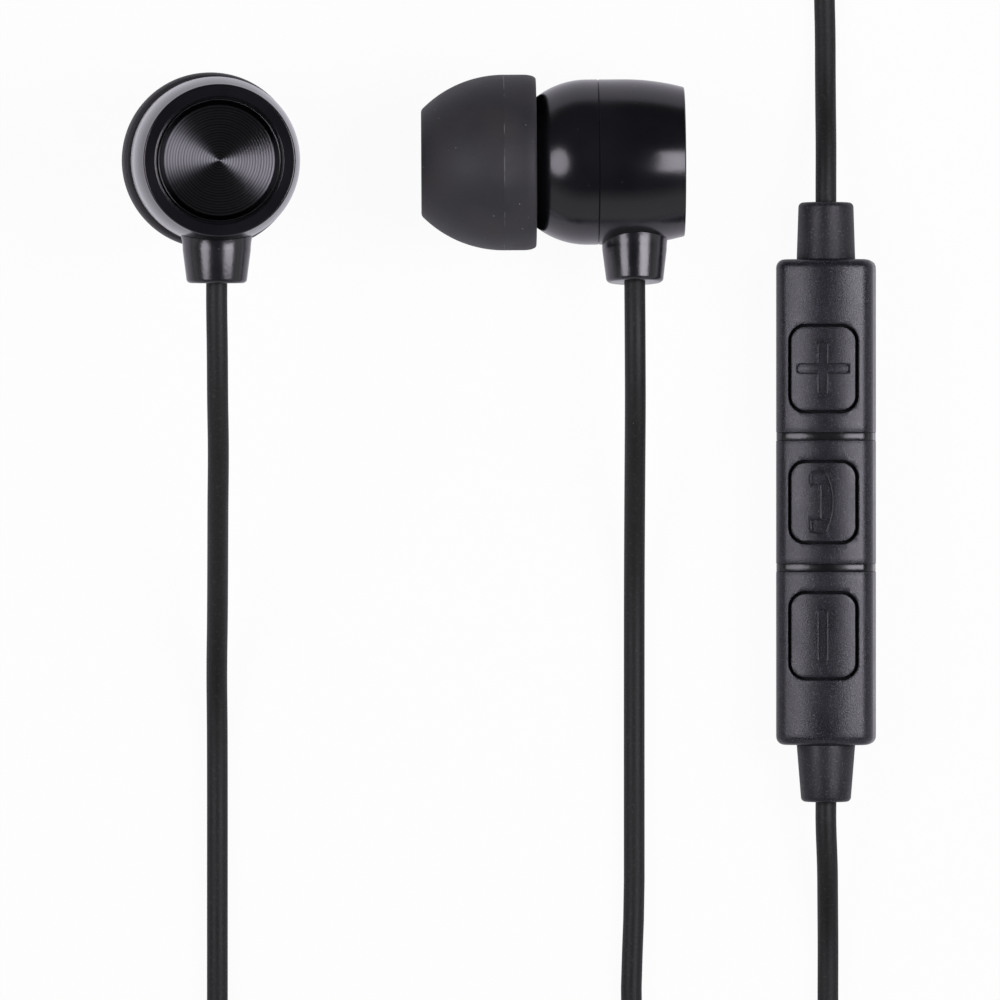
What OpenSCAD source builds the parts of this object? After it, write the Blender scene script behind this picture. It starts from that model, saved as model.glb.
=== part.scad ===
// Wired in-ear earphones with an in-line remote, laid out on a table.
// Two earbuds, a three-button remote with a microphone, a splitter and a 3.5 mm plug,
// joined by round cords whose spare length is wound into two tied coils.
// Millimetres, +Z up. The origin lies on the table, under the middle of the buds and the remote.

/* [Earbud shells] */
// Largest radius of an earbud's housing
shell_r = 5.9; // [5.6:0.1:6.4]
// Length of the rear shell, from the split line to its flat end
rear_len = 6.15; // [6.05:0.05:7.5]
// Wall at the middle of both shells
shell_wall = 0.9; // [0.8:0.05:1.0]
// Where the front shell starts to curve in, ahead of the split line
dome_start = 0.8; // [0.4:0.1:1.0]
// Where the rear shell starts to curve in, behind the split line
barrel_start = 1.8; // [1.2:0.1:2.4]
// Radius of the rear shell's barrel curve
barrel_r = 16.6; // [12:0.2:24]

/* [Cap disc] */
// Radius of the metal disc in the rear shell's end
disc_r = 4.28; // [4.0:0.02:4.6]
// Thickness of the disc
disc_t = 0.4; // [0.3:0.05:0.5]
// Width of the gap round the disc
disc_gap = 0.22; // [0.1:0.01:0.25]

/* [Nozzle and ear tip] */
// Radius of the nozzle's neck
nozzle_r = 2.25; // [2.1:0.05:2.4]
// Radius of the barb at the nozzle's end
barb_r = 2.5; // [2.42:0.02:2.7]
// Radius of the sound bore through the nozzle
bore_r = 1.55; // [1.3:0.05:1.6]
// Distance from the split line to the nozzle's end
nozzle_reach = 10.4; // [9.6:0.1:11.0]
// Largest radius of the ear tip
tip_r = 6.27; // [5.9:0.05:6.6]
// Length of the ear tip
tip_len = 8.2; // [7.8:0.1:9.0]
// Distance from the split line to the ear tip's front
tip_reach = 12.64; // [12.4:0.05:13.2]
// Thickness of the ear tip's skirt
skirt_t = 0.55; // [0.4:0.05:0.7]

/* [Driver] */
// Gap between the driver's frame and the shell
driver_gap = 0.05; // [0.04:0.01:0.15]
// Radius of the magnet
magnet_r = 2.3; // [2.0:0.05:2.35]
// Height of the magnet
magnet_h = 1.2; // [0.9:0.1:1.4]
// Outer radius of the steel yoke
yoke_r = 3.2; // [3.1:0.05:3.4]
// Outer radius of the voice coil
coil_r = 2.7; // [2.6:0.02:2.72]

/* [Strain relief on the buds] */
// Distance from the split line to the strain relief's axis
relief_at = 2.55; // [2.5:0.05:2.7]
// Distance from the bud's axis to the strain relief's end
relief_reach = 8.65; // [8.0:0.05:10]
// Radius of the strain relief where it leaves the shell
relief_root_r = 2.3; // [2.1:0.05:2.4]
// Radius of the strain relief's end
relief_end_r = 2.05; // [1.7:0.05:2.1]

/* [Remote] */
// Width of the remote
remote_w = 7.0; // [6.8:0.1:7.6]
// Length of the remote's body
remote_len = 34.8; // [34:0.1:38]
// Thickness of the remote
remote_t = 5.4; // [5.3:0.1:6.0]
// Wall of the remote's shells
remote_wall = 0.8; // [0.7:0.05:0.9]
// Distance between two buttons
button_pitch = 9.55; // [9.3:0.05:10]
// Width of each button
button_w = 4.6; // [4.2:0.1:4.7]
// Length of the plus and minus buttons
button_len = 5.95; // [5.4:0.05:6.1]
// Length of the call button
call_len = 5.6; // [5.0:0.05:5.8]
// Gap round each button
button_gap = 0.22; // [0.15:0.01:0.26]
// How far a button can be pressed
button_travel = 0.25; // [0.15:0.01:0.25]
// Depth of the button symbols
symbol_depth = 0.12; // [0.05:0.01:0.2]
// Distance from the middle of the remote to each divider band
divider_at = 4.7; // [4.5:0.05:4.9]
// Width of the groove under a divider band
groove_w = 0.56; // [0.5:0.02:0.7]
// Width of a divider band
band_w = 0.44; // [0.3:0.02:0.46]

/* [Plug] */
// Radius of the plug's contacts
jack_r = 1.75; // [1.75:0.01:1.76]
// Length of the plug's contacts
jack_len = 14; // [13.5:0.5:15]
// Radius of the plug's grip
grip_r = 3.2; // [2.8:0.1:3.6]
// Length of the plug's grip
grip_len = 16; // [14:1:22]
// Radius of the plug's strain relief where it meets the grip
plug_relief_r = 2.3; // [2.0:0.1:2.6]
// Length of the plug's strain relief
plug_relief_len = 10; // [8:1:14]

/* [Splitter] */
// Length of the splitter's body
splitter_len = 12; // [10:1:16]
// Width of the splitter's body
splitter_w = 6.4; // [6.2:0.1:8]
// Thickness of the splitter's body
splitter_t = 3.8; // [3.6:0.1:4.6]

/* [Cords] */
// Diameter of the cords from the buds to the splitter
cord_d = 1.5; // [1.3:0.05:1.6]
// Diameter of the cord from the splitter to the plug
main_d = 2.0; // [1.8:0.05:2.1]
// Least gap between two turns of a coil
turn_gap = 0.46; // [0.42:0.02:0.6]
// Turns in the left cord's coil
left_turns = 4.25;
// Turns in the main cord's coil
main_turns = 11;

/* [Hidden] */
$fn = 64;
SIDES = ["left", "right"];
BUD_PARTS = [
    "front_shell", "rear_shell", "cap_disc", "strain_relief", "cord_tail", "lead_wires",
    "driver_frame", "driver_yoke", "driver_magnet", "driver_top_plate", "voice_coil", "diaphragm",
    "driver_cover", "terminal_board", "nozzle_mesh", "ear_tip",
];
REMOTE_PARTS = [
    "remote_front_shell", "remote_back_shell", "remote_divider_bands", "plus_button", "call_button",
    "minus_button", "remote_circuit_board", "remote_dome_switches", "remote_microphone",
    "remote_microphone_seal", "remote_upper_relief", "remote_lower_relief",
];
OTHER_PARTS = [
    "splitter_body", "splitter_clamp", "plug_grip", "plug_strain_relief", "plug_sleeve",
    "plug_rings", "plug_tip", "plug_insulators", "remote_cord_tails", "left_cord",
    "left_cord_coil", "right_cord", "remote_cord", "main_cord", "main_cord_coil", "cord_ties",
];

// Clearances
touch = 0.02; // between pieces that are glued or clipped together
slip = 0.03; // round a piece that slides or drops into its seat
cut = 1; // how far a cutter runs past a face

cord_r = cord_d / 2;
main_r = main_d / 2;

// Where the pieces lie on the table
left_bud_at = [-20.03, 19.42];
left_bud_tilt = 5.2;
left_bud_lean = -22; // which way the cap end leans, turned from +X
right_bud_at = [7.15, 19.53];
right_bud_tilt = 0.5; // the tip end is raised
right_bud_turn = 0.3; // and the cap end turned away a little
right_bud_roll = -5; // and the bud rolled so that its cord leaves it upwards
remote_at = [23.53, -4.75];
remote_roll = 6.5; // the buttons lean to -X

// Shells
shell_in_r = shell_r - shell_wall;
lip_t = 0.33; // wall of the front shell's tongue
lip_r = shell_in_r + lip_t;
lip_len = 0.7;
split_chamfer = 0.07;
shell_edge_r = 0.15; // rounding of the rear shell's end
shoulder_r = 3.6; // where the dome ends at the nozzle's shoulder
shoulder_z = -dome_start - sqrt(shell_r * shell_r - shoulder_r * shoulder_r);
cone_len = 0.45;
barb_len = 0.9; // from the nozzle's end to the barb's step
barb_step = 0.05;
barb_taper_len = 0.65;
barb_taper = 0.25;
chamber_r = shell_r - shell_wall - 0.65; // hollow ahead of the driver
chamber_len = 0.8;
throat_lead = 0.1;
disc_seat_depth = 0.5;
disc_floor_t = 0.7;
disc_edge = 0.12;
disc_rim_w = 0.38;
disc_rim_slope = 0.07;
disc_dish = 0.07; // how far the disc's middle lies below its rim
cavity_end = rear_len - disc_seat_depth - disc_floor_t;

// Driver stack, measured along the bud's axis, front to back
driver_r = shell_in_r - driver_gap;
cover_t = 0.25;
cover_z = -2.4;
cover_gap = 0.05;
cover_hole_r = 0.6;
cover_hole_at = 2.6;
cover_middle_r = 0.7;
frame_front = cover_z + cover_t;
frame_back = -0.3;
web_t = 0.6;
frame_rim_t = 0.45;
ledge_w = 0.3; // the diaphragm's edge lies on it
vent_land = 0.135; // metal left on each side of the frame's vents
diaphragm_t = 0.1;
diaphragm_z = frame_front + 0.3;
dome_rise = 0.1;
dome_edge = 0.6; // where the dome starts to flatten, as a share of the coil's radius
diaphragm_gap = 0.05;
diaphragm_r = driver_r - frame_rim_t - diaphragm_gap;
plate_t = 0.4;
plate_overhang = 0.1;
plate_r = magnet_r + plate_overhang;
yoke_front = diaphragm_z + diaphragm_t + 0.4;
magnet_z = yoke_front + plate_t;
yoke_floor = magnet_z + magnet_h;
yoke_floor_t = 0.5;
coil_gap = 0.1;
yoke_bore_r = coil_r + coil_gap;
coil_t = 0.2;
coil_len = 1.2;
board_t = 0.4;
board_at = 4; // distance of the terminal board from the bud's axis
board_w = 2.6;
board_len = 1.1;
mesh_t = 0.2;
mesh_r = 1.95;

// Ear tip
sleeve_bore_r = barb_r + slip;
sleeve_t = 0.72;
sleeve_end = -6.2;
tip_mouth_r = 1.9;
tip_dome_r = 8.2; // radius of the dome's curve
tip_dome_len = 5.9;
tip_nose_r = 0.45;
tip_edge_w = 0.32; // rounding of the skirt's free edge
tip_edge_len = 0.9;
tip_web_t = 1.15; // between the tip's front and the hollow under the skirt
tip_web_rise = 0.75; // how much deeper that hollow is at the skirt than at the sleeve
tip_fillet_w = 0.35;
tip_fillet_len = 0.4;
tip_fillet_at = 0.1;

// Strain relief on a bud
relief_wide = 1.045; // how much wider it is across the bud than along it
relief_flare = 0.15; // how far its root spreads over the shell
relief_flare_len = 1.1;
relief_tip_edge = 0.3;
relief_neck_r = 1.7;
relief_flange_r = 2.2;
relief_flange_t = 0.5;
relief_sink = 0.7; // how far its root reaches under the shell's side
relief_neck_over = 0.3; // how far its neck reaches out past the shell's side
relief_flange_at = sqrt(shell_in_r * shell_in_r - relief_flange_r * relief_flange_r) - 2 * touch;
knot_r = 1.05;
knot_at = relief_flange_at - relief_flange_t - sqrt(knot_r * knot_r - pow(cord_r + touch, 2)) - touch;
wire_r = 0.13;

// Remote
remote_split = remote_t / 2; // height of the seam between the shells
front_crown_r = 7;
back_crown_r = 14;
front_slope = 19.27; // of the faces beside the crown
back_slope = 9.21;
least_r = 0.2; // of a corner inside the shells
remote_corner_r = 1.3;
remote_plan_r = 0.7;
remote_end_r = 0.6;
aperture_r = 1.25;
button_flange = 0.6; // how far a button's flange reaches past its ends
button_flange_t = 0.35;
flange_rise = 1.13; // from the seam to the flange's upper face
flange_top = remote_split + flange_rise;
flange_low = flange_top - button_flange_t;
button_proud = 0.12; // how far a button stands above the shell
switch_h = 0.75;
switch_w = 3;
switch_len = 2.6;
switch_base_h = 0.45;
switch_r = 0.75;
switch_gap = 0.08; // between a pressed button and its switch
board_top = flange_low - switch_gap - button_travel - switch_h;
board_gap = 0.1;
symbol_w = 0.7;
symbol_len = 3.8;
symbol_end_r = 0.3;
handset = [ // outline of the call symbol: X, Y and the rounding of each corner
    [-0.85, 2.2, 0.25], [0.15, 2.25, 0.5], [0.72, 1.2, 1], [0.72, -1.2, 1], [0.15, -2.25, 0.5],
    [-0.85, -2.2, 0.25], [-0.85, -1.25, 0.12], [-0.15, -1.25, 0.12], [-0.15, 1.25, 0.12],
    [-0.85, 1.25, 0.12],
];
remote_board_t = 0.6;
remote_board_r = 0.5;
board_end_gap = 1.6; // room for the cords' stops
groove_depth = 0.25;
band_t = 0.22;
band_fit = 0.01;
boot_root_r = 2.1;
boot_end_r = 1.98;
lower_boot_end_r = 1.8;
boot_len = 4.1;
boot_neck_r = 1.4;
boot_flange_r = 1.8;
boot_flange_t = 0.5;
boot_edge = 0.35;
wall_in = remote_len / 2 - remote_wall;
boot_tip = remote_len / 2 + boot_len;
bead_r = 1.15;
bead_len = 0.5;
bead_at = wall_in - boot_flange_t - bead_len;
port_r = 0.4;
port_from_end = 4.9;
port_at = remote_len / 2 - port_from_end;
mic_h = 0.7;
mic_w = 3;
mic_len = 3.6;
mic_hole_r = 0.24;
mic_hole_depth = 0.2;
seal_r = 1.1;
seal_gap = 0.08;

// Plug, along its own axis
plug_at = [31, -76.5, grip_r]; // where the cord meets its strain relief
plug_bore_len = 6; // how far the cord runs into it
insulator_t = 0.6;
relief_groove_pitch = 1.8;
relief_groove_w = 0.6;
tail_r = 1.45; // the contacts' root, inside the grip
tail_len = 4;
spigot_r = 1.5; // joins the strain relief to the grip
spigot_len = 1.5;
core_t = 0.33; // wall of the insulating tube round the centre rod
sleeve_len = 4.6;
ring_len = 2.4;
jack_core_r = 0.9;
jack_land = 0.7; // straight part of the tip contact
jack_tip = [[1.09, 1.7], [1.66, 1.05], [1.58, 0.75], [0.61, 0]]; // radius, distance from the end
grip_edge_r = 0.7;
grip_taper_at = 11.5;
grip_curve_r = 4;
grip_nose_r = 2.56;
nose_edge_r = 0.5;
plug_relief_wall = 0.45;
plug_relief_edge = 0.15;
plug_relief_root = 0.5; // straight part beside the grip
relief_groove_wall = 0.4;

// Splitter
splitter_at = [10, -76]; // middle of its upper end
inlet_gap = 2.5; // between the two cords that come in
collar_len = 1.5;
collar_wall = 0.45;
collar_root = 0.5; // how far a collar reaches into the body
clamp_from = 4;
clamp_to = 7;
clamp_r = 1.2;
clamp_wall = 0.4;
splitter_corner_r = 0.9;
splitter_taper_at = 5.4;
splitter_taper_r = 3;
splitter_tail_w = 4.5;
splitter_edge_r = 1;

// The ear tip's nose runs smoothly into its dome
nose_len = tip_nose_r * (tip_dome_r - tip_dome_len) / (tip_dome_r - tip_nose_r);
nose_slope = asin((tip_dome_len - nose_len) / tip_dome_r);
nose_middle = tip_r - tip_dome_r + (tip_dome_r - tip_nose_r) * cos(nose_slope);

// Outline of the ear tip's outside, and how high each piece's own origin lies above the table
tip_outer = [
    [tip_mouth_r, -tip_reach],
    for (k = [0 : 4]) tip_nose_point(k / 4),
    for (k = [1 : 14]) tip_dome_point(nose_len + (tip_dome_len - nose_len) * k / 14),
    for (a = [0 : 30 : 90])
        [tip_r - tip_edge_w * (1 - cos(a)), tip_len - tip_reach - tip_edge_len * (1 - sin(a))],
];
left_lift = lowest(tip_outer, left_bud_tilt);
barrel_reach =
    barrel_r - (barrel_r - shell_r) * cos(right_bud_tilt) + barrel_start * sin(right_bud_tilt);
right_lift = max(side_reach(tip_outer, right_bud_tilt), barrel_reach);
remote_lift = max([
    for (p = remote_outline(0))
        p[0] * sin(-remote_roll) - (p[1] - remote_t / 2) * cos(remote_roll)
]);

// Cord routes: points down the middle of each free stretch, X and Y on the table, Z up
tie_w = 2.2;
tie_t = 0.3;
tie_r = 0.3; // rounding inside a tie's corners
tie_low = 0.04;
tie_gap = 0.12; // between a tie and the turns that it holds
lift = 0.4; // the ties under the coils raise them by this much
left_exit = [for (lead = [0, cord_d]) left_point([0, -relief_reach - lead, relief_at])];
right_exit = [for (lead = [0, cord_d]) right_point([0, -relief_reach - lead, relief_at])];
upper_exit = [for (lead = [cord_d, 0]) remote_point([0, boot_tip + lead, remote_t / 2])];
lower_exit = [for (lead = [0, cord_d]) remote_point([0, -boot_tip - lead, remote_t / 2])];
inlet_lead = collar_len + 0.5;
left_inlet = [
    for (y = [inlet_lead, -clamp_from + touch])
        [splitter_at[0] - inlet_gap / 2, splitter_at[1] + y, splitter_t / 2],
];
right_inlet = [for (p = left_inlet) p + [inlet_gap, 0, 0]];
outlet = [
    for (y = [clamp_to + touch, splitter_len + inlet_lead])
        [splitter_at[0], splitter_at[1] - y, splitter_t / 2],
];
plug_inlet = [for (y = [0.5, -plug_bore_len + touch]) plug_at + [0, y, 0]];

left_coil_out = 10.2; // radius of the outermost turn
left_coil_at = [-20.2 + left_coil_out, -54];
left_low = cord_r + lift;
main_coil_out = 14.6;
main_coil_at = [10 - main_coil_out, -100];
main_low = main_r + lift;
turn_pitch_left = cord_d + turn_gap;
turn_pitch_main = main_d + turn_gap;
left_high = left_low + turn_pitch_left;
main_high = main_low + 3 * turn_pitch_main;

left_route = concat(left_exit, [
    [-19.8, 6, 14.7], [-19.8, 2.5, 13.85], [-19.8, -1, 12.2], [-19.9, -5, 9.7], [-20, -9, 6.8],
    [-20.1, -13, 4.1], [-20.2, -17, 2.1], [-20.2, -21, 1.1], [-20.2, -25, 0.75], [-20.2, -33, 0.75],
    [-20.2, -42, 0.75], [-20.2, -46, 0.9], [-20.2, -50, 1.15],
    [left_coil_at[0] - left_coil_out, -52.5, left_low],
]);
left_route_end = concat([
    [left_coil_at[0] + cord_d, left_coil_at[1] - left_coil_out, left_high],
    [left_coil_at[0] + 2 * cord_d, left_coil_at[1] - left_coil_out, left_high],
    [-3.2, -64.4, 2.5], [0.2, -65.1, 1.7], [3.4, -66.5, 1.1], [6.2, -68.7, 1], [8.1, -71.5, 1.5],
], left_inlet);
right_route = concat(right_exit, [
    [9.78, 6, 7.05], [9.8, 2.5, 6.4], [9.8, -1, 5.1], [9.8, -5, 3.2], [9.8, -9, 1.7],
    [9.8, -13, 0.95], [9.8, -17, 0.75], [9.8, -32, 0.75], [9.8, -45, 0.75],
    [10.4, -48.1, 0.75], [12.1, -50.7, 0.75],
    [14.7, -52.4, 0.75], [17.8, -53, 0.75], [31, -53, 0.75], [34.1, -52.4, 0.75],
    [36.7, -50.7, 0.75], [38.4, -48.1, 0.75], [39, -45, 0.75], [39, -5, 0.75], [39, 35, 0.75],
    [38.4, 38, 0.75], [36.7, 40.5, 0.75], [34.2, 42.2, 0.75], [31.2, 42.8, 0.75],
    [28.2, 42.2, 0.75], [25.7, 40.5, 0.75], [24.1, 38, 0.75], [23.6, 35, 0.75], [23.55, 28, 0.8],
    [23.55, 24, 1.4], [23.55, 21, 2.3],
], upper_exit);
remote_route = concat(lower_exit, [
    [23.65, -31, 2.3], [23.7, -33.5, 1.5], [23.74, -36.5, 0.9], [23.74, -40, 0.75], [23.74, -44, 0.9],
    [23.7, -48.5, 1.9], [23.65, -53, 2.7], [23.4, -57, 2], [22.7, -61, 1], [21, -64.5, 0.75],
    [18.2, -67.2, 0.75], [14.9, -69, 0.9], [12.3, -71.3, 1.4],
], right_inlet);
main_route = concat(outlet, [
    [10, -92.5, 1.6], [10, -95.5, 1.4],
    [main_coil_at[0] + main_coil_out, main_coil_at[1] + main_d, main_low],
]);
main_route_end = concat([
    [main_coil_at[0] + main_coil_out, main_coil_at[1] - main_d, main_high],
    [main_coil_at[0] + main_coil_out, main_coil_at[1] - 2 * main_d, main_high],
    [10.4, -107, 8], [11.9, -109.8, 6.7], [14.6, -111.2, 5.2], [17.6, -110.6, 3.8], [19.9, -108.3, 2.6],
    [20.9, -105, 1.7], [21, -101, 1.2], [21, -96, 1], [21, -86, 1], [21, -76, 1], [21.2, -73, 1.1],
    [22.3, -70.4, 1.4], [24.6, -68.7, 1.9], [27.4, -68.7, 2.4], [29.7, -70.4, 2.9], [30.8, -73, 3.2],
], plug_inlet);

// ---- Geometry helpers ----

function unit(v) = v / norm(v);
function xy(p) = [p[0], p[1]];
function turned_y(p, a) = [p[0] * cos(a) + p[2] * sin(a), p[1], -p[0] * sin(a) + p[2] * cos(a)];
function turned_z(p, a) = [p[0] * cos(a) - p[1] * sin(a), p[0] * sin(a) + p[1] * cos(a), p[2]];

// An outline from corners [x, y, radius], each corner rounded by its radius
function rounded(corners, steps = 8) = [
    for (i = [0 : len(corners) - 1])
        let (
            n = len(corners),
            here = xy(corners[i]),
            r = corners[i][2],
            a = unit(xy(corners[(i + n - 1) % n]) - here),
            b = unit(xy(corners[(i + 1) % n]) - here),
            half = acos(max(-1, min(1, a * b))) / 2,
            centre = here + unit(a + b) * r / sin(half),
            from = here + a * r / tan(half) - centre,
            to = here + b * r / tan(half) - centre,
            start = atan2(from[1], from[0]),
            sweep = (atan2(to[1], to[0]) - start + 540) % 360 - 180
        )
        for (k = [0 : r > 0 ? steps : 0])
            r > 0 ? centre + r * [cos(start + sweep * k / steps), sin(start + sweep * k / steps)] : here
];

module ring(outer, inner, from, to) {
    translate([0, 0, from])
        difference() {
            cylinder(r = outer, h = to - from);
            translate([0, 0, -cut]) cylinder(r = inner, h = to - from + 2 * cut);
        }
}

module box_at(size, at) {
    translate([at[0] - size[0] / 2, at[1] - size[1] / 2, at[2]]) cube(size);
}

// The corners of a rectangle whose middle is at x = 0, all rounded alike
function block(w, low, high, r) = [[-w / 2, low, r], [w / 2, low, r], [w / 2, high, r], [-w / 2, high, r]];

// A rounded rectangle in plan, raised from z
module plate(w, l, r, from, to) {
    translate([0, 0, from]) linear_extrude(to - from) polygon(rounded(block(w, -l / 2, l / 2, r)));
}

// A tube swept along a path of points that never runs along level, with its ends square to the path
function path_dir(path, i) = unit(path[min(i + 1, len(path) - 1)] - path[max(i - 1, 0)]);
function tube_ring(path, i, r, sides, level) =
    let (t = path_dir(path, i), side = unit(cross(t, level)), up = cross(side, t))
    [for (k = [0 : sides - 1]) path[i] + r * (cos(360 * k / sides) * side + sin(360 * k / sides) * up)];

module tube(path, r, sides, level = [0, 0, 1]) {
    n = len(path);
    points = [for (i = [0 : n - 1]) each tube_ring(path, i, r, sides, level)];
    walls = [
        for (i = [0 : n - 2]) for (k = [0 : sides - 1])
            let (a = i * sides + k, b = i * sides + (k + 1) % sides)
            each [[a, b, a + sides], [b, b + sides, a + sides]]
    ];
    ends = concat(
        [for (k = [1 : sides - 2]) [0, k + 1, k]],
        [for (k = [1 : sides - 2]) [(n - 1) * sides, (n - 1) * sides + k, (n - 1) * sides + k + 1]]
    );
    polyhedron(points = points, faces = concat(walls, ends), convexity = 10);
}

// ---- Placing ----

function tip_dome_drop(from_end) = tip_dome_r - sqrt(tip_dome_r * tip_dome_r - from_end * from_end);
function tip_dome_point(d) = [tip_r - tip_dome_drop(tip_dome_len - d), -tip_reach + d];
function tip_nose_point(s) =
    let (a = -90 + (90 - nose_slope) * s)
    [nose_middle + tip_nose_r * cos(a), -tip_reach + tip_nose_r * (1 + sin(a))];

function barrel_drop(z) =
    z < barrel_start ? 0 : barrel_r - sqrt(barrel_r * barrel_r - pow(z - barrel_start, 2));
function lowest(points, a) = max([for (p = points) -p[1] * cos(a) + p[0] * sin(a)]);
function side_reach(points, a) = max([for (p = points) p[0] * cos(a) + p[1] * sin(a)]);

function remote_outline(inset) =
    let (
        w = remote_w / 2 - inset,
        fr = front_crown_r - inset,
        br = back_crown_r - inset,
        top = remote_t - inset + fr * (1 / cos(front_slope) - 1),
        low = inset - br * (1 / cos(back_slope) - 1),
        cr = max(least_r, remote_corner_r - inset)
    )
    rounded([
        [-w, low + w * tan(back_slope), cr], [0, low, br], [w, low + w * tan(back_slope), cr],
        [w, top - w * tan(front_slope), cr], [0, top, fr], [-w, top - w * tan(front_slope), cr],
    ]);

function left_point(p) =
    turned_z(turned_y(turned_z(p, -left_bud_lean), left_bud_tilt), left_bud_lean)
    + [left_bud_at[0], left_bud_at[1], left_lift];
function right_point(p) =
    turned_z(turned_y(turned_z(p, right_bud_roll), 90 + right_bud_tilt), right_bud_turn)
    + [right_bud_at[0], right_bud_at[1], right_lift];
function remote_point(p) =
    turned_y(p - [0, 0, remote_t / 2], -remote_roll) + [remote_at[0], remote_at[1], remote_lift];

module place_bud(side) {
    if (side == "left")
        translate([left_bud_at[0], left_bud_at[1], left_lift])
            rotate([0, left_bud_tilt, left_bud_lean]) rotate(-left_bud_lean) children();
    else
        translate([right_bud_at[0], right_bud_at[1], right_lift])
            rotate([0, 90 + right_bud_tilt, right_bud_turn]) rotate(right_bud_roll) children();
}

module place_remote() {
    translate([remote_at[0], remote_at[1], remote_lift]) rotate([0, -remote_roll, 0])
        translate([0, 0, -remote_t / 2]) children();
}

// Lays a piece that points along +Z down the strain relief's axis, from the bud's axis outwards
module relief_axis() {
    translate([0, 0, relief_at]) rotate([90, 0, 0]) children();
}

// ---- Earbud ----

// The rear shell's outer form, grown by more all round
module rear_form(more = 0) {
    straight = rear_len - shell_edge_r;
    barrel = [
        for (k = [0 : 12])
            let (z = split_chamfer + (straight - split_chamfer) * k / 12)
            [shell_r + more - barrel_drop(z), z],
    ];
    rim = shell_r + more - barrel_drop(straight);
    edge = [
        for (a = [22.5 : 22.5 : 90])
            [rim - shell_edge_r * (1 - cos(a)), straight + shell_edge_r * sin(a) + more],
    ];
    rotate_extrude()
        polygon(concat([[0, 0], [shell_r + more - split_chamfer, 0]], barrel, edge, [[0, rear_len + more]]));
}

module rear_shell() {
    color("#101012") difference() {
        rear_form();
        translate([0, 0, -cut]) cylinder(r = shell_in_r, h = cavity_end + cut);
        translate([0, 0, -cut]) cylinder(r = lip_r + touch, h = lip_len + touch + cut);
        translate([0, 0, rear_len - disc_seat_depth])
            cylinder(r = disc_r + disc_gap, h = disc_seat_depth + cut);
        relief_axis() cylinder(r = relief_neck_r + touch, h = shell_r + cut);
    }
}

module front_shell() {
    dome_to = acos(shoulder_r / shell_r);
    rim = [
        [0, lip_len], [lip_r, lip_len], [lip_r, 0], [shell_r - split_chamfer, 0],
        [shell_r, -split_chamfer], [shell_r, -dome_start],
    ];
    dome = [
        for (k = [1 : 18])
            shell_r * [cos(dome_to * k / 18), -sin(dome_to * k / 18)] - [0, dome_start],
    ];
    neck = [
        [nozzle_r, shoulder_z - cone_len], [nozzle_r, -nozzle_reach + barb_len],
        [barb_r, -nozzle_reach + barb_len - barb_step], [barb_r, -nozzle_reach + barb_taper_len],
        [barb_r - barb_taper, -nozzle_reach], [0, -nozzle_reach],
    ];
    color("#101012") difference() {
        rotate_extrude() polygon(concat(rim, dome, neck));
        translate([0, 0, cover_z]) cylinder(r = driver_r + slip, h = lip_len - cover_z + cut);
        rotate_extrude() polygon([
            [0, cover_z + cut], [chamber_r, cover_z + cut], [chamber_r, cover_z - chamber_len],
            [bore_r, shoulder_z - throat_lead], [bore_r, -nozzle_reach + mesh_t],
            [mesh_r + touch, -nozzle_reach + mesh_t],
            [mesh_r + touch, -nozzle_reach - cut], [0, -nozzle_reach - cut],
        ]);
    }
}

// A metal disc with a polished rim and a shallow turned centre
module cap_disc() {
    base = rear_len - disc_seat_depth;
    top = base + disc_t;
    color("#1c1c20") rotate_extrude() polygon([
        [0, base], [disc_r, base], [disc_r, top - disc_edge], [disc_r - disc_edge, top],
        [disc_r - disc_rim_w, top], [disc_r - disc_rim_w - disc_rim_slope, top - disc_dish],
        [0, top - disc_dish],
    ]);
}

// A rubber boot whose root follows the shell, held by a flange inside it
module strain_relief() {
    root = shell_r - relief_sink;
    flare = [
        for (k = [0 : 6])
            [relief_root_r + relief_flare * pow(1 - k / 6, 2), root + relief_flare_len * k / 6],
    ];
    tip_edge = [
        for (a = [0 : 18 : 90])
            [relief_end_r - relief_tip_edge * (1 - cos(a)), relief_reach - relief_tip_edge * (1 - sin(a))],
    ];
    color("#17171a") difference() {
        union() {
            difference() {
                relief_axis() scale([relief_wide, 1, 1])
                    rotate_extrude() polygon(concat([[0, root]], flare, tip_edge, [[0, relief_reach]]));
                rear_form(touch);
                translate([0, 0, touch - shell_r]) cylinder(r = relief_reach, h = shell_r);
            }
            relief_axis() translate([0, 0, relief_flange_at - relief_flange_t])
                cylinder(r = relief_flange_r, h = relief_flange_t);
            relief_axis() translate([0, 0, relief_flange_at - touch])
                cylinder(r = relief_neck_r, h = shell_r - relief_flange_at + relief_neck_over);
        }
        relief_axis() cylinder(r = cord_r + touch, h = relief_reach + cut);
    }
}

// The cord's end inside the bud, with the knot that holds it in the strain relief
module cord_tail() {
    color("#2e2e30") relief_axis() union() {
        translate([0, 0, knot_at]) cylinder(r = cord_r, h = relief_reach - knot_at);
        translate([0, 0, knot_at]) sphere(r = knot_r);
    }
}

module lead_wires() {
    over = yoke_floor + yoke_floor_t;
    color("#b0603a") for (x = [-1, 1])
        tube([
            [x * 0.5, -knot_at + knot_r * 0.8, relief_at], [x * 0.7, -1.6, relief_at - 0.2],
            [x * 0.9, -0.6, over + 0.8], [x * 0.9, 0.5, over + 0.5], [x * 0.9, 2.5, over + 0.5],
            [x * 0.9, 3.5, over + 0.4], [x * 0.85, board_at - 0.05, over],
            [x * 0.85, board_at, frame_back + board_t + 0.3], [x * 0.85, board_at, frame_back + board_t],
        ], wire_r, 8, [1, 0, 0]);
}

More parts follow.
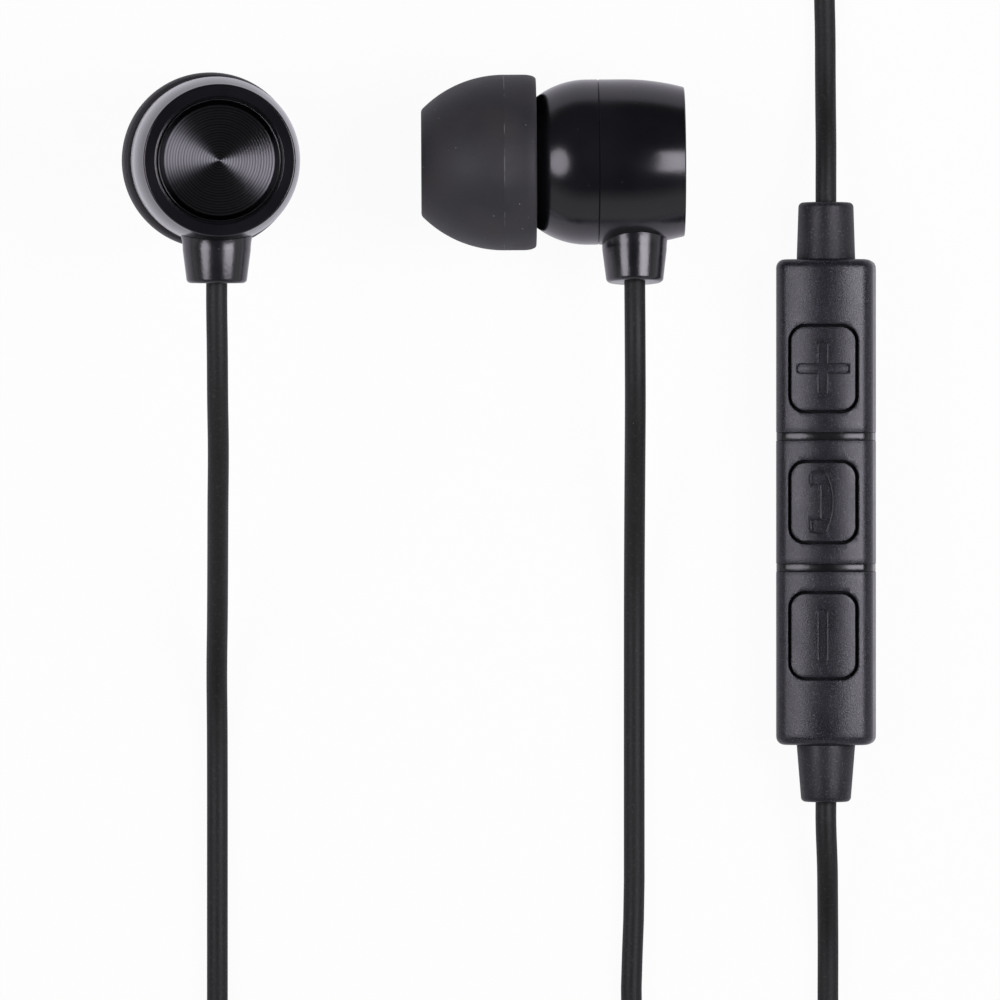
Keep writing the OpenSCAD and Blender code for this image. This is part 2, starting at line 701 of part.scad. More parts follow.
module driver_frame() {
    ledge = diaphragm_z + diaphragm_t + touch;
    ledge_r = driver_r - frame_rim_t - ledge_w;
    web_r = yoke_r + slip;
    vent_r = (ledge_r - web_r) / 2 - vent_land;
    color("#3a3a3e") difference() {
        rotate_extrude() polygon([
            [driver_r, frame_front], [driver_r, frame_back], [web_r, frame_back],
            [web_r, frame_back - web_t], [ledge_r, frame_back - web_t], [ledge_r, ledge],
            [driver_r - frame_rim_t, ledge], [driver_r - frame_rim_t, frame_front],
        ]);
        for (a = [30 : 60 : 330]) rotate([0, 0, a])
            translate([(web_r + ledge_r) / 2, 0, frame_back - web_t - cut])
                cylinder(r = vent_r, h = web_t + 2 * cut);
    }
}

module driver_yoke() {
    color("#8f9296") difference() {
        translate([0, 0, yoke_front]) cylinder(r = yoke_r, h = yoke_floor + yoke_floor_t - yoke_front);
        translate([0, 0, yoke_front - cut]) cylinder(r = yoke_bore_r, h = yoke_floor - yoke_front + cut);
    }
}

module driver_magnet() {
    color("#6f7176") translate([0, 0, magnet_z]) cylinder(r = magnet_r, h = magnet_h);
}

module driver_top_plate() {
    color("#9a9da1") translate([0, 0, yoke_front]) cylinder(r = plate_r, h = plate_t);
}

module voice_coil() {
    from = diaphragm_z + diaphragm_t;
    color("#b5653a") ring(coil_r, coil_r - coil_t, from, from + coil_len);
}

module diaphragm() {
    back = diaphragm_z + diaphragm_t;
    color("#c9b98a") rotate_extrude() polygon([
        [0, diaphragm_z - dome_rise], [coil_r * dome_edge, diaphragm_z - dome_rise * dome_edge],
        [coil_r - coil_t, diaphragm_z], [diaphragm_r, diaphragm_z], [diaphragm_r, back],
        [coil_r - coil_t, back], [coil_r * dome_edge, back - dome_rise * dome_edge], [0, back - dome_rise],
    ]);
}

module driver_cover() {
    color("#c7a24a") difference() {
        translate([0, 0, cover_z]) cylinder(r = driver_r - cover_gap, h = cover_t);
        for (a = [0 : 60 : 300]) rotate([0, 0, a]) translate([cover_hole_at, 0, cover_z - cut])
            cylinder(r = cover_hole_r, h = cover_t + 2 * cut);
        translate([0, 0, cover_z - cut]) cylinder(r = cover_middle_r, h = cover_t + 2 * cut);
    }
}

module terminal_board() {
    color("#1f5a35") box_at([board_w, board_len, board_t], [0, board_at, frame_back]);
}

module nozzle_mesh() {
    color("#a7aaae") translate([0, 0, -nozzle_reach + touch]) cylinder(r = mesh_r, h = mesh_t - 2 * touch);
}

// A silicone tip: a sleeve over the nozzle and a domed skirt that folds back from its front
module ear_tip() {
    root = -tip_reach + tip_web_t;
    curve = tip_dome_r - skirt_t;
    inner = [
        for (k = [0 : 10])
            let (back = (tip_dome_len - tip_web_t - tip_web_rise) * k / 10)
            [tip_r - tip_dome_r + sqrt(curve * curve - back * back), -tip_reach + tip_dome_len - back],
    ];
    sleeve = [
        [sleeve_bore_r + sleeve_t + tip_fillet_w, root + tip_fillet_at],
        [sleeve_bore_r + sleeve_t, root + tip_fillet_at + tip_fillet_len],
        [sleeve_bore_r + sleeve_t, sleeve_end], [sleeve_bore_r, sleeve_end],
        [sleeve_bore_r, -nozzle_reach - touch], [tip_mouth_r, -nozzle_reach - touch],
    ];
    color("#38383b") rotate_extrude()
        polygon(concat(tip_outer, [[tip_r - skirt_t, -tip_reach + tip_len]], inner, sleeve));
}

// ---- Remote ----

// The remote's outer form, drawn in by inset all round
module remote_form(inset) {
    w = remote_w / 2 - inset;
    l = remote_len / 2 - inset;
    low = inset - slip;
    high = remote_t - inset + slip;
    er = max(least_r, remote_end_r - inset);
    intersection() {
        rotate([90, 0, 0]) translate([0, 0, -l]) linear_extrude(2 * l) polygon(remote_outline(inset));
        plate(2 * w, 2 * l, max(least_r, remote_plan_r - inset), -cut, remote_t + cut);
        rotate([90, 0, 90]) translate([0, 0, -w - cut]) linear_extrude(2 * w + 2 * cut)
            polygon(rounded(block(2 * l, low, high, er)));
    }
}

module half_space(above) {
    h = remote_t * 2;
    box_at([remote_w * 2, remote_len * 2, h], [0, 0, above ? remote_split : remote_split - h]);
}

module boot_holes() {
    for (s = [-1, 1])
        translate([0, s * (remote_len / 2 + cut), remote_t / 2]) rotate([s * 90, 0, 0])
            cylinder(r = boot_neck_r + touch, h = remote_wall + 2 * cut);
}

// A groove round the body under each divider band
module groove_cutters(depth, width) {
    for (s = [-1, 1]) translate([0, s * divider_at, 0])
        difference() {
            rotate([90, 0, 0]) linear_extrude(width, center = true) polygon(remote_outline(-cut));
            rotate([90, 0, 0]) linear_extrude(2 * width, center = true) polygon(remote_outline(depth));
        }
}

module remote_shell(above) {
    difference() {
        intersection() {
            remote_form(0);
            half_space(above);
        }
        remote_form(remote_wall);
        boot_holes();
        groove_cutters(groove_depth, groove_w);
    }
}

function button_y(i) = (1 - i) * button_pitch;
function button_l(i) = i == 1 ? call_len : button_len;

module remote_front_shell() {
    color("#232327") difference() {
        remote_shell(true);
        for (i = [0 : 2]) translate([0, button_y(i), 0])
            plate(
                button_w + 2 * button_gap, button_l(i) + 2 * button_gap, aperture_r,
                remote_split, remote_t + cut
            );
    }
}

module remote_back_shell() {
    color("#232327") difference() {
        remote_shell(false);
        translate([0, -port_at, -cut]) cylinder(r = port_r, h = remote_wall + 2 * cut);
    }
}

module remote_divider_bands() {
    color("#0c0c0e") for (s = [-1, 1]) translate([0, s * divider_at, 0]) rotate([90, 0, 0])
        difference() {
            linear_extrude(band_w, center = true) polygon(remote_outline(groove_depth - band_t));
            linear_extrude(2 * band_w, center = true) polygon(remote_outline(groove_depth - band_fit));
        }
}

module minus_symbol() {
    plate(symbol_w, symbol_len, symbol_end_r, flange_top, remote_t + cut);
}

module plus_symbol() {
    minus_symbol();
    plate(symbol_len, symbol_w, symbol_end_r, flange_top, remote_t + cut);
}

// A telephone handset, seen from the side
module call_symbol() {
    translate([0, 0, flange_top]) linear_extrude(remote_t) polygon(rounded(handset, 4));
}

// A bar along the remote whose top is the shell's crown, raised by more
module crown(more, l) {
    translate([0, 0, remote_t - front_crown_r]) rotate([90, 0, 0])
        cylinder(r = front_crown_r + more, h = l, center = true, $fn = 180);
}

// A button whose top follows the shell's crown, with a flange that keeps it in
module button(i) {
    l = button_l(i);
    w = remote_w - 2 * (remote_wall + board_gap + touch);
    color("#26262a") translate([0, button_y(i), 0]) difference() {
        union() {
            intersection() {
                plate(button_w, l, aperture_r - button_gap, flange_low + touch, remote_t + cut);
                crown(button_proud, l + cut);
            }
            plate(w, l + 2 * button_flange, aperture_r, flange_low, flange_top);
        }
        difference() {
            if (i == 0) plus_symbol();
            else if (i == 1) call_symbol();
            else minus_symbol();
            crown(button_proud - symbol_depth, l + cut);
        }
    }
}

module remote_circuit_board() {
    color("#1f5a35") plate(
        remote_w - 2 * (remote_wall + board_gap), remote_len - 2 * (remote_wall + board_end_gap),
        remote_board_r, board_top - remote_board_t, board_top
    );
}

module remote_dome_switches() {
    for (i = [0 : 2]) translate([0, button_y(i), board_top]) {
        color("#d8d8d8") box_at([switch_w, switch_len, switch_base_h], [0, 0, 0]);
        color("#b9bcc0") cylinder(r = switch_r, h = switch_h);
    }
}

module remote_microphone() {
    color("#c9c9c9") translate([0, -port_at, board_top - remote_board_t - mic_h]) difference() {
        box_at([mic_w, mic_len, mic_h], [0, 0, 0]);
        translate([0, 0, -cut]) cylinder(r = mic_hole_r, h = cut + mic_hole_depth);
    }
}

module remote_microphone_seal() {
    color("#151515") translate([0, -port_at, 0])
        ring(seal_r, port_r, remote_wall + seal_gap, board_top - remote_board_t - mic_h);
}

// A soft boot that the cord leaves the remote through
module boot_axis(s) {
    translate([0, 0, remote_t / 2]) rotate([-s * 90, 0, 0]) children();
}

module remote_boot(s, end_r) {
    tip_edge = [
        for (a = [0 : 18 : 90]) [end_r - boot_edge * (1 - cos(a)), boot_tip - boot_edge * (1 - sin(a))],
    ];
    color("#29292d") boot_axis(s) difference() {
        rotate_extrude() polygon(concat(
            [[0, wall_in - boot_flange_t - touch], [boot_flange_r, wall_in - boot_flange_t - touch],
             [boot_flange_r, wall_in - touch], [boot_neck_r, wall_in - touch],
             [boot_neck_r, remote_len / 2 + touch], [boot_root_r, remote_len / 2 + touch]],
            tip_edge, [[0, boot_tip]]
        ));
        cylinder(r = cord_r + touch, h = boot_tip + cut);
    }
}

// The cords' ends inside the remote, each with a bead that stops it pulling out of its boot
module remote_cord_tails() {
    color("#2e2e30") for (s = [-1, 1]) boot_axis(s) {
        translate([0, 0, bead_at - 2 * touch]) cylinder(r = bead_r, h = bead_len);
        translate([0, 0, bead_at]) cylinder(r = cord_r, h = boot_tip - bead_at);
    }
}

// ---- Splitter ----

module down_splitter(x, from, to, r) {
    translate([x, -from, splitter_t / 2]) rotate([90, 0, 0]) cylinder(r = r, h = to - from);
}

// A flat moulded body with a collar round each cord
module splitter_body() {
    l = splitter_len;
    w = splitter_w / 2;
    tail = splitter_tail_w / 2;
    corner = splitter_corner_r;
    color("#232327") translate([splitter_at[0], splitter_at[1], 0]) difference() {
        union() {
            intersection() {
                linear_extrude(splitter_t) polygon(rounded([
                    [-w, 0, corner], [w, 0, corner], [w, -splitter_taper_at, splitter_taper_r],
                    [tail, -l, corner], [-tail, -l, corner], [-w, -splitter_taper_at, splitter_taper_r],
                ]));
                rotate([90, 0, 0]) translate([0, 0, -cut]) linear_extrude(l + 2 * cut)
                    polygon(rounded(block(splitter_w, 0, splitter_t, splitter_edge_r)));
            }
            for (x = [-inlet_gap / 2, inlet_gap / 2])
                down_splitter(x, -collar_len, collar_root, cord_r + collar_wall);
            down_splitter(0, l - collar_root, l + collar_len, main_r + collar_wall);
        }
        for (x = [-inlet_gap / 2, inlet_gap / 2])
            down_splitter(x, -collar_len - cut, clamp_from, cord_r + touch);
        down_splitter(0, clamp_from, clamp_to, clamp_r + touch);
        down_splitter(0, clamp_to, l + collar_len + cut, main_r + touch);
    }
}

// The crimp that grips the cores of the three cords inside the splitter
module splitter_clamp() {
    color("#b9a45c") translate([splitter_at[0], splitter_at[1], 0]) difference() {
        down_splitter(0, clamp_from + touch, clamp_to - touch, clamp_r);
        down_splitter(0, clamp_from - cut, clamp_to + cut, clamp_r - clamp_wall);
    }
}

// ---- Plug, lying along -Y with its tip at the far end ----

module plug_axis(from) {
    translate([plug_at[0], plug_at[1] - from, plug_at[2]]) rotate([90, 0, 0]) children();
}

module plug_strain_relief() {
    color("#232327") plug_axis(0) difference() {
        union() {
            rotate_extrude() polygon([
                [0, 0], [main_r + plug_relief_wall, 0],
                [main_r + plug_relief_wall + plug_relief_edge, plug_relief_edge],
                [plug_relief_r, plug_relief_len - plug_relief_root], [plug_relief_r, plug_relief_len],
                [0, plug_relief_len],
            ]);
            translate([0, 0, plug_relief_len]) cylinder(r = spigot_r, h = spigot_len);
        }
        for (k = [1 : 4]) translate([0, 0, k * relief_groove_pitch])
            ring(grip_r, main_r + relief_groove_wall, 0, relief_groove_w);
        translate([0, 0, -cut]) cylinder(r = main_r + touch, h = plug_bore_len + cut);
    }
}

module plug_grip() {
    color("#1a1a1d") plug_axis(plug_relief_len) difference() {
        rotate_extrude() polygon(rounded([
            [0, 0, 0], [grip_r, 0, grip_edge_r], [grip_r, grip_taper_at, grip_curve_r],
            [grip_nose_r, grip_len, nose_edge_r], [0, grip_len, 0],
        ], 6));
        translate([0, 0, -cut]) cylinder(r = spigot_r + touch, h = spigot_len + touch + cut);
        translate([0, 0, grip_len - tail_len]) cylinder(r = tail_r + touch, h = tail_len + cut);
    }
}

jack_from = plug_relief_len + grip_len;
second_from = sleeve_len + insulator_t;
first_from = second_from + ring_len + insulator_t;
tip_from = first_from + ring_len + insulator_t;

module plug_sleeve() {
    color("#d9c27a") plug_axis(jack_from) difference() {
        union() {
            cylinder(r = jack_r, h = sleeve_len);
            translate([0, 0, touch - tail_len]) cylinder(r = tail_r, h = tail_len);
        }
        translate([0, 0, -tail_len - cut]) cylinder(r = jack_core_r, h = tail_len + sleeve_len + 2 * cut);
    }
}

module plug_rings() {
    color("#d9c27a") plug_axis(jack_from)
        for (z = [first_from, second_from]) ring(jack_r, jack_core_r, z, z + ring_len);
}

// The ball at the plug's end, on the centre rod that runs back through the contacts
module plug_tip() {
    rod_r = jack_core_r - core_t - touch;
    rod = [[0, touch - tail_len], [rod_r, touch - tail_len], [rod_r, tip_from]];
    ball = [for (p = jack_tip) [p[0], jack_len - p[1]]];
    color("#d9c27a") plug_axis(jack_from) rotate_extrude()
        polygon(concat(rod, [[jack_r, tip_from], [jack_r, tip_from + jack_land]], ball, [[0, jack_len]]));
}

module plug_insulators() {
    color("#101010") plug_axis(jack_from) {
        ring(jack_core_r - touch, jack_core_r - core_t, touch - tail_len, tip_from);
        for (z = [sleeve_len, second_from + ring_len, first_from + ring_len])
            ring(jack_r, jack_core_r - 2 * touch, z, z + insulator_t);
    }
}

// ---- Cords ----

// One coil: it spirals in and out again at a steady rate, and climbs a layer in the half turn
// where it turns back
function fold(t, n) = let (m = t % (2 * n)) m <= n ? m : 2 * n - m;
function climb(t, n, layers) =
    let (k = max(1, min(layers - 1, round(t / n))), s = max(-0.25, min(0.25, t - k * n)))
    k - 0.5 + 0.5 * sin(s * 360);
function coil_point(t, centre, out, pitch, low, turns, layers, start, way) =
    let (n = turns / layers, r = out - pitch * fold(t, n), a = start + way * 360 * t)
    [centre[0] + r * cos(a), centre[1] + r * sin(a), low + pitch * climb(t, n, layers)];
function coil_path(centre, out, pitch, low, turns, layers, start, way, lead) =
    let (
        steps = ceil(turns * 24),
        round_part = [
            for (i = [0 : steps])
                coil_point(turns * i / steps, centre, out, pitch, low, turns, layers, start, way),
        ],
        first = way * [-sin(start), cos(start), 0],
        end = start + way * 360 * turns,
        last = way * [-sin(end), cos(end), 0]
    )
    concat([round_part[0] - lead * first], round_part, [round_part[steps] + lead * last]);

left_coil_path = coil_path(
    left_coil_at, left_coil_out, turn_pitch_left, left_low, left_turns, 2, 180, 1, cord_d
);
main_coil_path = coil_path(
    main_coil_at, main_coil_out, turn_pitch_main, main_low, main_turns, 4, 0, -1, main_d
);

function path_length(path) =
    let (n = len(path))
    [for (i = [0 : n - 2]) norm(path[i + 1] - path[i])] * [for (i = [0 : n - 2]) 1];
echo(
    left_length = path_length(left_route) + path_length(left_coil_path) + path_length(left_route_end),
    right_length = path_length(right_route), remote_length = path_length(remote_route),
    main_length = path_length(main_route) + path_length(main_coil_path) + path_length(main_route_end)
);
echo(left_lift = left_lift, right_lift = right_lift, remote_lift = remote_lift);

module free_cord(routes, r) {
    color("#2e2e30") for (route = routes) tube(route, r, 8);
}

// A flat tie round one bundle of turns, as a closed strap
module tie(centre, a, from, to, top) {
    color("#151517") translate([centre[0], centre[1], 0]) rotate([0, 0, a])
        translate([(from + to) / 2, 0, 0]) rotate([90, 0, 0]) difference() {
            linear_extrude(tie_w, center = true)
                polygon(rounded(block(to - from + 2 * tie_t, tie_low, top + tie_t, tie_r + tie_t)));
            linear_extrude(tie_w + 2 * cut, center = true)
                polygon(rounded(block(to - from, tie_low + tie_t, top, tie_r)));
        }
}

module coil_tie(centre, a, out, pitch, turns, layers, r, high) {
    tie(centre, a, out - pitch * turns / layers - r - tie_gap, out + r + tie_gap, high + r + tie_gap);
}

module cord_ties() {
    coil_tie(left_coil_at, 30, left_coil_out, turn_pitch_left, left_turns, 2, cord_r, left_high);
    for (a = [90, 270])
        coil_tie(main_coil_at, a, main_coil_out, turn_pitch_main, main_turns, 4, main_r, main_high);
}

// ---- Drawing ----

module bud_part(part) {
    if (part == "front_shell") front_shell();
    if (part == "rear_shell") rear_shell();
    if (part == "cap_disc") cap_disc();
    if (part == "strain_relief") strain_relief();
    if (part == "cord_tail") cord_tail();
    if (part == "lead_wires") lead_wires();
    if (part == "driver_frame") driver_frame();
    if (part == "driver_yoke") driver_yoke();
    if (part == "driver_magnet") driver_magnet();
    if (part == "driver_top_plate") driver_top_plate();
    if (part == "voice_coil") voice_coil();
    if (part == "diaphragm") diaphragm();
    if (part == "driver_cover") driver_cover();
    if (part == "terminal_board") terminal_board();
    if (part == "nozzle_mesh") nozzle_mesh();
    if (part == "ear_tip") ear_tip();
}

for (side = SIDES) for (part = BUD_PARTS)
    place_bud(side) bud_part(part);

place_remote() remote_front_shell();
place_remote() remote_back_shell();
place_remote() remote_divider_bands();
place_remote() button(0);  // plus_button
place_remote() button(1);  // call_button
place_remote() button(2);  // minus_button
place_remote() remote_circuit_board();
place_remote() remote_dome_switches();
place_remote() remote_microphone();
place_remote() remote_microphone_seal();
place_remote() remote_cord_tails();
place_remote() remote_boot(1, boot_end_r);  // remote_upper_relief
place_remote() remote_boot(-1, lower_boot_end_r);  // remote_lower_relief

splitter_body();
splitter_clamp();
plug_grip();
plug_strain_relief();
plug_sleeve();
plug_rings();
plug_tip();
plug_insulators();

free_cord([left_route, left_route_end], cord_r);  // left_cord
color("#2e2e30") tube(left_coil_path, cord_r, 6);  // left_cord_coil
free_cord([right_route], cord_r);  // right_cord
free_cord([remote_route], cord_r);  // remote_cord
free_cord([main_route, main_route_end], main_r);  // main_cord
color("#2e2e30") tube(main_coil_path, main_r, 6);  // main_cord_coil
cord_ties();
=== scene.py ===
from math import acos, asin, atan2, ceil, cos, degrees, pi, radians, sin, sqrt, tan, tau

import bpy
from mathutils import Matrix, Vector


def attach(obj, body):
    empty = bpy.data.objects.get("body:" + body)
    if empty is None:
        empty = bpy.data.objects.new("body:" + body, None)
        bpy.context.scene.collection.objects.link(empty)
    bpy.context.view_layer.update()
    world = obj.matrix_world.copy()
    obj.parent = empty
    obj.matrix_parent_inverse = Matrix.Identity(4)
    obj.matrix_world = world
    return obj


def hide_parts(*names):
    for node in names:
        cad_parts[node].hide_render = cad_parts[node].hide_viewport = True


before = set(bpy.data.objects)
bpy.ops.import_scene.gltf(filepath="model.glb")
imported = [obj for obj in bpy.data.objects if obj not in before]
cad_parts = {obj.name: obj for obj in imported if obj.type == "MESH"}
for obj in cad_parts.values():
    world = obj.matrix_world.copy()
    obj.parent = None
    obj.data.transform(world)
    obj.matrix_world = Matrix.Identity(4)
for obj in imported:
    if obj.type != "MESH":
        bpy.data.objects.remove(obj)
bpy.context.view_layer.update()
mm = 0.001
print("frame loaded:", len(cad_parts), "nodes")

# where the buds and the remote lie, in millimetres and degrees
leftBud = {"x": -20.03, "y": 19.42, "height": 12.9124, "tilt": 5.2, "lean": -22}
rightBud = {"x": 7.15, "y": 19.53, "height": 6.22316, "tilt": 0.5, "turn": 0.3, "roll": -5}
remoteRest = {"x": 23.53, "y": -4.75, "height": 2.77228, "roll": 6.5, "thickness": 5.4}
plugRest = {"x": 31, "y": -76.5, "height": 3.2}
splitterRest = {"x": 10, "y": -76, "height": 1.9}


def turn(angle, axis):
    return Matrix.Rotation(radians(angle), 4, axis)


def shift(x, y, z):
    return Matrix.Translation(Vector((x, y, z)))


placeOf = {
    "left": shift(leftBud["x"], leftBud["y"], leftBud["height"])
    @ turn(leftBud["lean"], "Z")
    @ turn(leftBud["tilt"], "Y")
    @ turn(-leftBud["lean"], "Z"),
    "right": shift(rightBud["x"], rightBud["y"], rightBud["height"])
    @ turn(rightBud["turn"], "Z")
    @ turn(90 + rightBud["tilt"], "Y")
    @ turn(rightBud["roll"], "Z"),
    "remote": shift(remoteRest["x"], remoteRest["y"], remoteRest["height"])
    @ turn(-remoteRest["roll"], "Y")
    @ shift(0, 0, -remoteRest["thickness"] / 2),
    "splitter": shift(splitterRest["x"], splitterRest["y"], splitterRest["height"]),
    "plug": shift(plugRest["x"], plugRest["y"], plugRest["height"]) @ turn(90, "X"),
}

# camera
camera = {"x": 0.14, "y": -4.6, "height": 700, "sharpAt": 6, "viewWidth": 71.43, "sensor": 36}
cameraPlace = [camera[key] * mm for key in ("x", "y", "height")]
bpy.ops.object.camera_add(location=cameraPlace, rotation=(0, 0, 0))
lens = bpy.context.object
lens.name = "camera"
lens.data.sensor_width = camera["sensor"]
lens.data.lens = camera["sensor"] * (camera["height"] - camera["sharpAt"]) / camera["viewWidth"]
lens.data.clip_start = 0.01
bpy.context.scene.camera = lens
print("camera ready")

# cords
cordSizes = {"upper": 1.5, "main": 2.0, "gap": 0.46, "lift": 0.4, "inletsApart": 2.5}
leftCoil = {"x": -10, "y": -54, "out": 10.2, "turns": 4.25, "layers": 2, "start": 180, "way": 1}
mainCoil = {"x": -4.6, "y": -100, "out": 14.6, "turns": 11, "layers": 4, "start": 0, "way": -1}
pointsPerTurn = 24


def coilPoints(coil, thickness):
    pitch = thickness + cordSizes["gap"]
    low = thickness / 2 + cordSizes["lift"]
    run = coil["turns"] / coil["layers"]
    steps = ceil(coil["turns"] * pointsPerTurn)
    points = []
    for i in range(steps + 1):
        t = coil["turns"] * i / steps
        fold = t % (2 * run)
        radius = coil["out"] - pitch * (fold if fold <= run else 2 * run - fold)
        k = max(1, min(coil["layers"] - 1, round(t / run)))
        s = max(-0.25, min(0.25, t - k * run))
        level = k - 0.5 + 0.5 * sin(radians(s * 360))
        angle = radians(coil["start"] + coil["way"] * 360 * t)
        x = coil["x"] + radius * cos(angle)
        y = coil["y"] + radius * sin(angle)
        points.append((x, y, low + pitch * level))
    return points


def along(place, x, z, *distances):
    return [tuple(placeOf[place] @ Vector((x, y, z))) for y in distances]


inlet = cordSizes["inletsApart"] / 2
leftPoints = [
    *along("left", 0, 2.55, -8.65, -10.15), (-19.8, 6, 14.7), (-19.8, 2.5, 13.85), (-19.8, -1, 12.2),
    (-19.9, -5, 9.7), (-20, -9, 6.8), (-20.1, -13, 4.1), (-20.2, -17, 2.1), (-20.2, -21, 1.1),
    (-20.2, -25, 0.75), (-20.2, -33, 0.75), (-20.2, -42, 0.75), (-20.2, -46, 0.9), (-20.2, -50, 1.15),
    (-20.2, -52.5, 1.15), *coilPoints(leftCoil, cordSizes["upper"]), (-8.5, -64.2, 3.11),
    (-7, -64.2, 3.11), (-3.2, -64.4, 2.5), (0.2, -65.1, 1.7), (3.4, -66.5, 1.1), (6.2, -68.7, 1),
    (8.1, -71.5, 1.5), *along("splitter", -inlet, 0, 2, -3.98),
]
rightPoints = [
    *along("right", 0, 2.55, -8.65, -10.15), (9.78, 6, 7.05), (9.8, 2.5, 6.4), (9.8, -1, 5.1),
    (9.8, -5, 3.2), (9.8, -9, 1.7), (9.8, -13, 0.95), (9.8, -17, 0.75), (9.8, -32, 0.75),
    (9.8, -45, 0.75), (10.4, -48.1, 0.75), (12.1, -50.7, 0.75), (14.7, -52.4, 0.75), (17.8, -53, 0.75),
    (31, -53, 0.75), (34.1, -52.4, 0.75), (36.7, -50.7, 0.75), (38.4, -48.1, 0.75), (39, -45, 0.75),
    (39, -5, 0.75), (39, 35, 0.75), (38.4, 38, 0.75), (36.7, 40.5, 0.75), (34.2, 42.2, 0.75),
    (31.2, 42.8, 0.75), (28.2, 42.2, 0.75), (25.7, 40.5, 0.75), (24.1, 38, 0.75), (23.6, 35, 0.75),
    (23.55, 28, 0.8), (23.55, 24, 1.4), (23.55, 21, 2.3), *along("remote", 0, 2.7, 23, 21.5),
]
remotePoints = [
    *along("remote", 0, 2.7, -21.5, -23), (23.65, -31, 2.3), (23.7, -33.5, 1.5), (23.74, -36.5, 0.9),
    (23.74, -40, 0.75), (23.74, -44, 0.9), (23.7, -48.5, 1.9), (23.65, -53, 2.7), (23.4, -57, 2),
    (22.7, -61, 1), (21, -64.5, 0.75), (18.2, -67.2, 0.75), (14.9, -69, 0.9), (12.3, -71.3, 1.4),
    *along("splitter", inlet, 0, 2, -3.98),
]
mainPoints = [
    *along("splitter", 0, 0, -7.02, -14), (10, -92.5, 1.6), (10, -95.5, 1.4), (10, -98, 1.4),
    *coilPoints(mainCoil, cordSizes["main"]), (10, -102, 8.78), (10, -104, 8.78), (10.4, -107, 8),
    (11.9, -109.8, 6.7), (14.6, -111.2, 5.2), (17.6, -110.6, 3.8), (19.9, -108.3, 2.6),
    (20.9, -105, 1.7), (21, -101, 1.2), (21, -96, 1), (21, -86, 1), (21, -76, 1), (21.2, -73, 1.1),
    (22.3, -70.4, 1.4), (24.6, -68.7, 1.9), (27.4, -68.7, 2.4), (29.7, -70.4, 2.9), (30.8, -73, 3.2),
    (31, -76, 3.2), (31, -82.48, 3.2),
]


def laidCord(name, points, thickness):
    line = bpy.data.curves.new(name, "CURVE")
    line.dimensions = "3D"
    line.bevel_depth = 1
    line.bevel_resolution = 6
    line.resolution_u = 5
    line.use_fill_caps = True
    spline = line.splines.new("BEZIER")
    spline.bezier_points.add(len(points) - 1)
    for knot, point in zip(spline.bezier_points, points):
        knot.co = Vector(point) * mm
        knot.radius = thickness / 2 * mm
        knot.handle_left_type = knot.handle_right_type = "AUTO"
    cord = bpy.data.objects.new(name, line)
    bpy.context.collection.objects.link(cord)
    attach(cord, "earphones")
    return cord


leftCord = laidCord("leftCord", leftPoints, cordSizes["upper"])
rightCord = laidCord("rightCord", rightPoints, cordSizes["upper"])
remoteCord = laidCord("remoteCord", remotePoints, cordSizes["upper"])
mainCord = laidCord("mainCord", mainPoints, cordSizes["main"])
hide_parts("left_cord", "left_cord_coil")
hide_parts("right_cord")
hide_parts("remote_cord")
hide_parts("main_cord", "main_cord_coil")
print("cords laid")


# shared ways of modelling, all in millimetres in the piece's own frame
weld = 0.0005


def objectMode():
    bpy.ops.object.mode_set(mode="OBJECT")


def editMode():
    bpy.ops.object.mode_set(mode="EDIT")


def selectAll():
    bpy.ops.mesh.select_all(action="SELECT")


def pick(*objects):
    if bpy.context.object and bpy.context.object.mode != "OBJECT":
        objectMode()
    bpy.ops.object.select_all(action="DESELECT")
    for item in objects:
        item.select_set(True)
    if objects:
        bpy.context.view_layer.objects.active = objects[0]


def editAll(piece):
    pick(piece)
    editMode()
    selectAll()


def joined(name, *parts):
    pick(*parts)
    bpy.ops.object.join()
    parts[0].name = name
    return parts[0]


def tracedLine(name, points):
    # one vertex, extruded from point to point
    pick()
    bpy.ops.mesh.primitive_plane_add(size=1)
    line = bpy.context.object
    line.name = name
    editMode()
    bpy.ops.mesh.merge(type="CENTER")
    bpy.ops.transform.translate(value=points[0])
    for here, there in zip(points, points[1:]):
        step = Vector(there) - Vector(here)
        bpy.ops.mesh.extrude_region_move(TRANSFORM_OT_translate={"value": step})
    selectAll()
    return line


def closed(piece):
    selectAll()
    bpy.ops.mesh.normals_make_consistent(inside=False)
    objectMode()
    return piece


def turned(name, outline, steps=128):
    # outline of (radius, height) spun about Z
    piece = tracedLine(name, [(r, 0, z) for r, z in outline])
    bpy.ops.mesh.spin(steps=steps, angle=tau, center=(0, 0, 0), axis=(0, 0, 1))
    selectAll()
    bpy.ops.mesh.remove_doubles(threshold=weld)
    return closed(piece)


def rod(radius, low, high, steps=48):
    return turned("rod", [(0, low), (radius, low), (radius, high), (0, high)], steps)


def prism(name, outline, axis, low, high):
    # closed outline of (across, up) pairs, extruded along an axis
    index = "XYZ".index(axis)
    piece = tracedLine(name, [(*pair[:index], low, *pair[index:]) for pair in outline + outline[:1]])
    bpy.ops.mesh.remove_doubles(threshold=weld)
    bpy.ops.mesh.edge_face_add()
    step = Vector()
    step[index] = high - low
    bpy.ops.mesh.extrude_region_move(TRANSFORM_OT_translate={"value": step})
    return closed(piece)


def applied(piece, kind, **settings):
    change = piece.modifiers.new(kind.lower(), kind)
    for key, value in settings.items():
        setattr(change, key, value)
    pick(piece)
    bpy.ops.object.modifier_apply(modifier=change.name)
    return piece


def carved(piece, tool, operation="DIFFERENCE"):
    applied(piece, "BOOLEAN", object=tool, operation=operation, solver="EXACT")
    bpy.data.objects.remove(tool)
    return piece


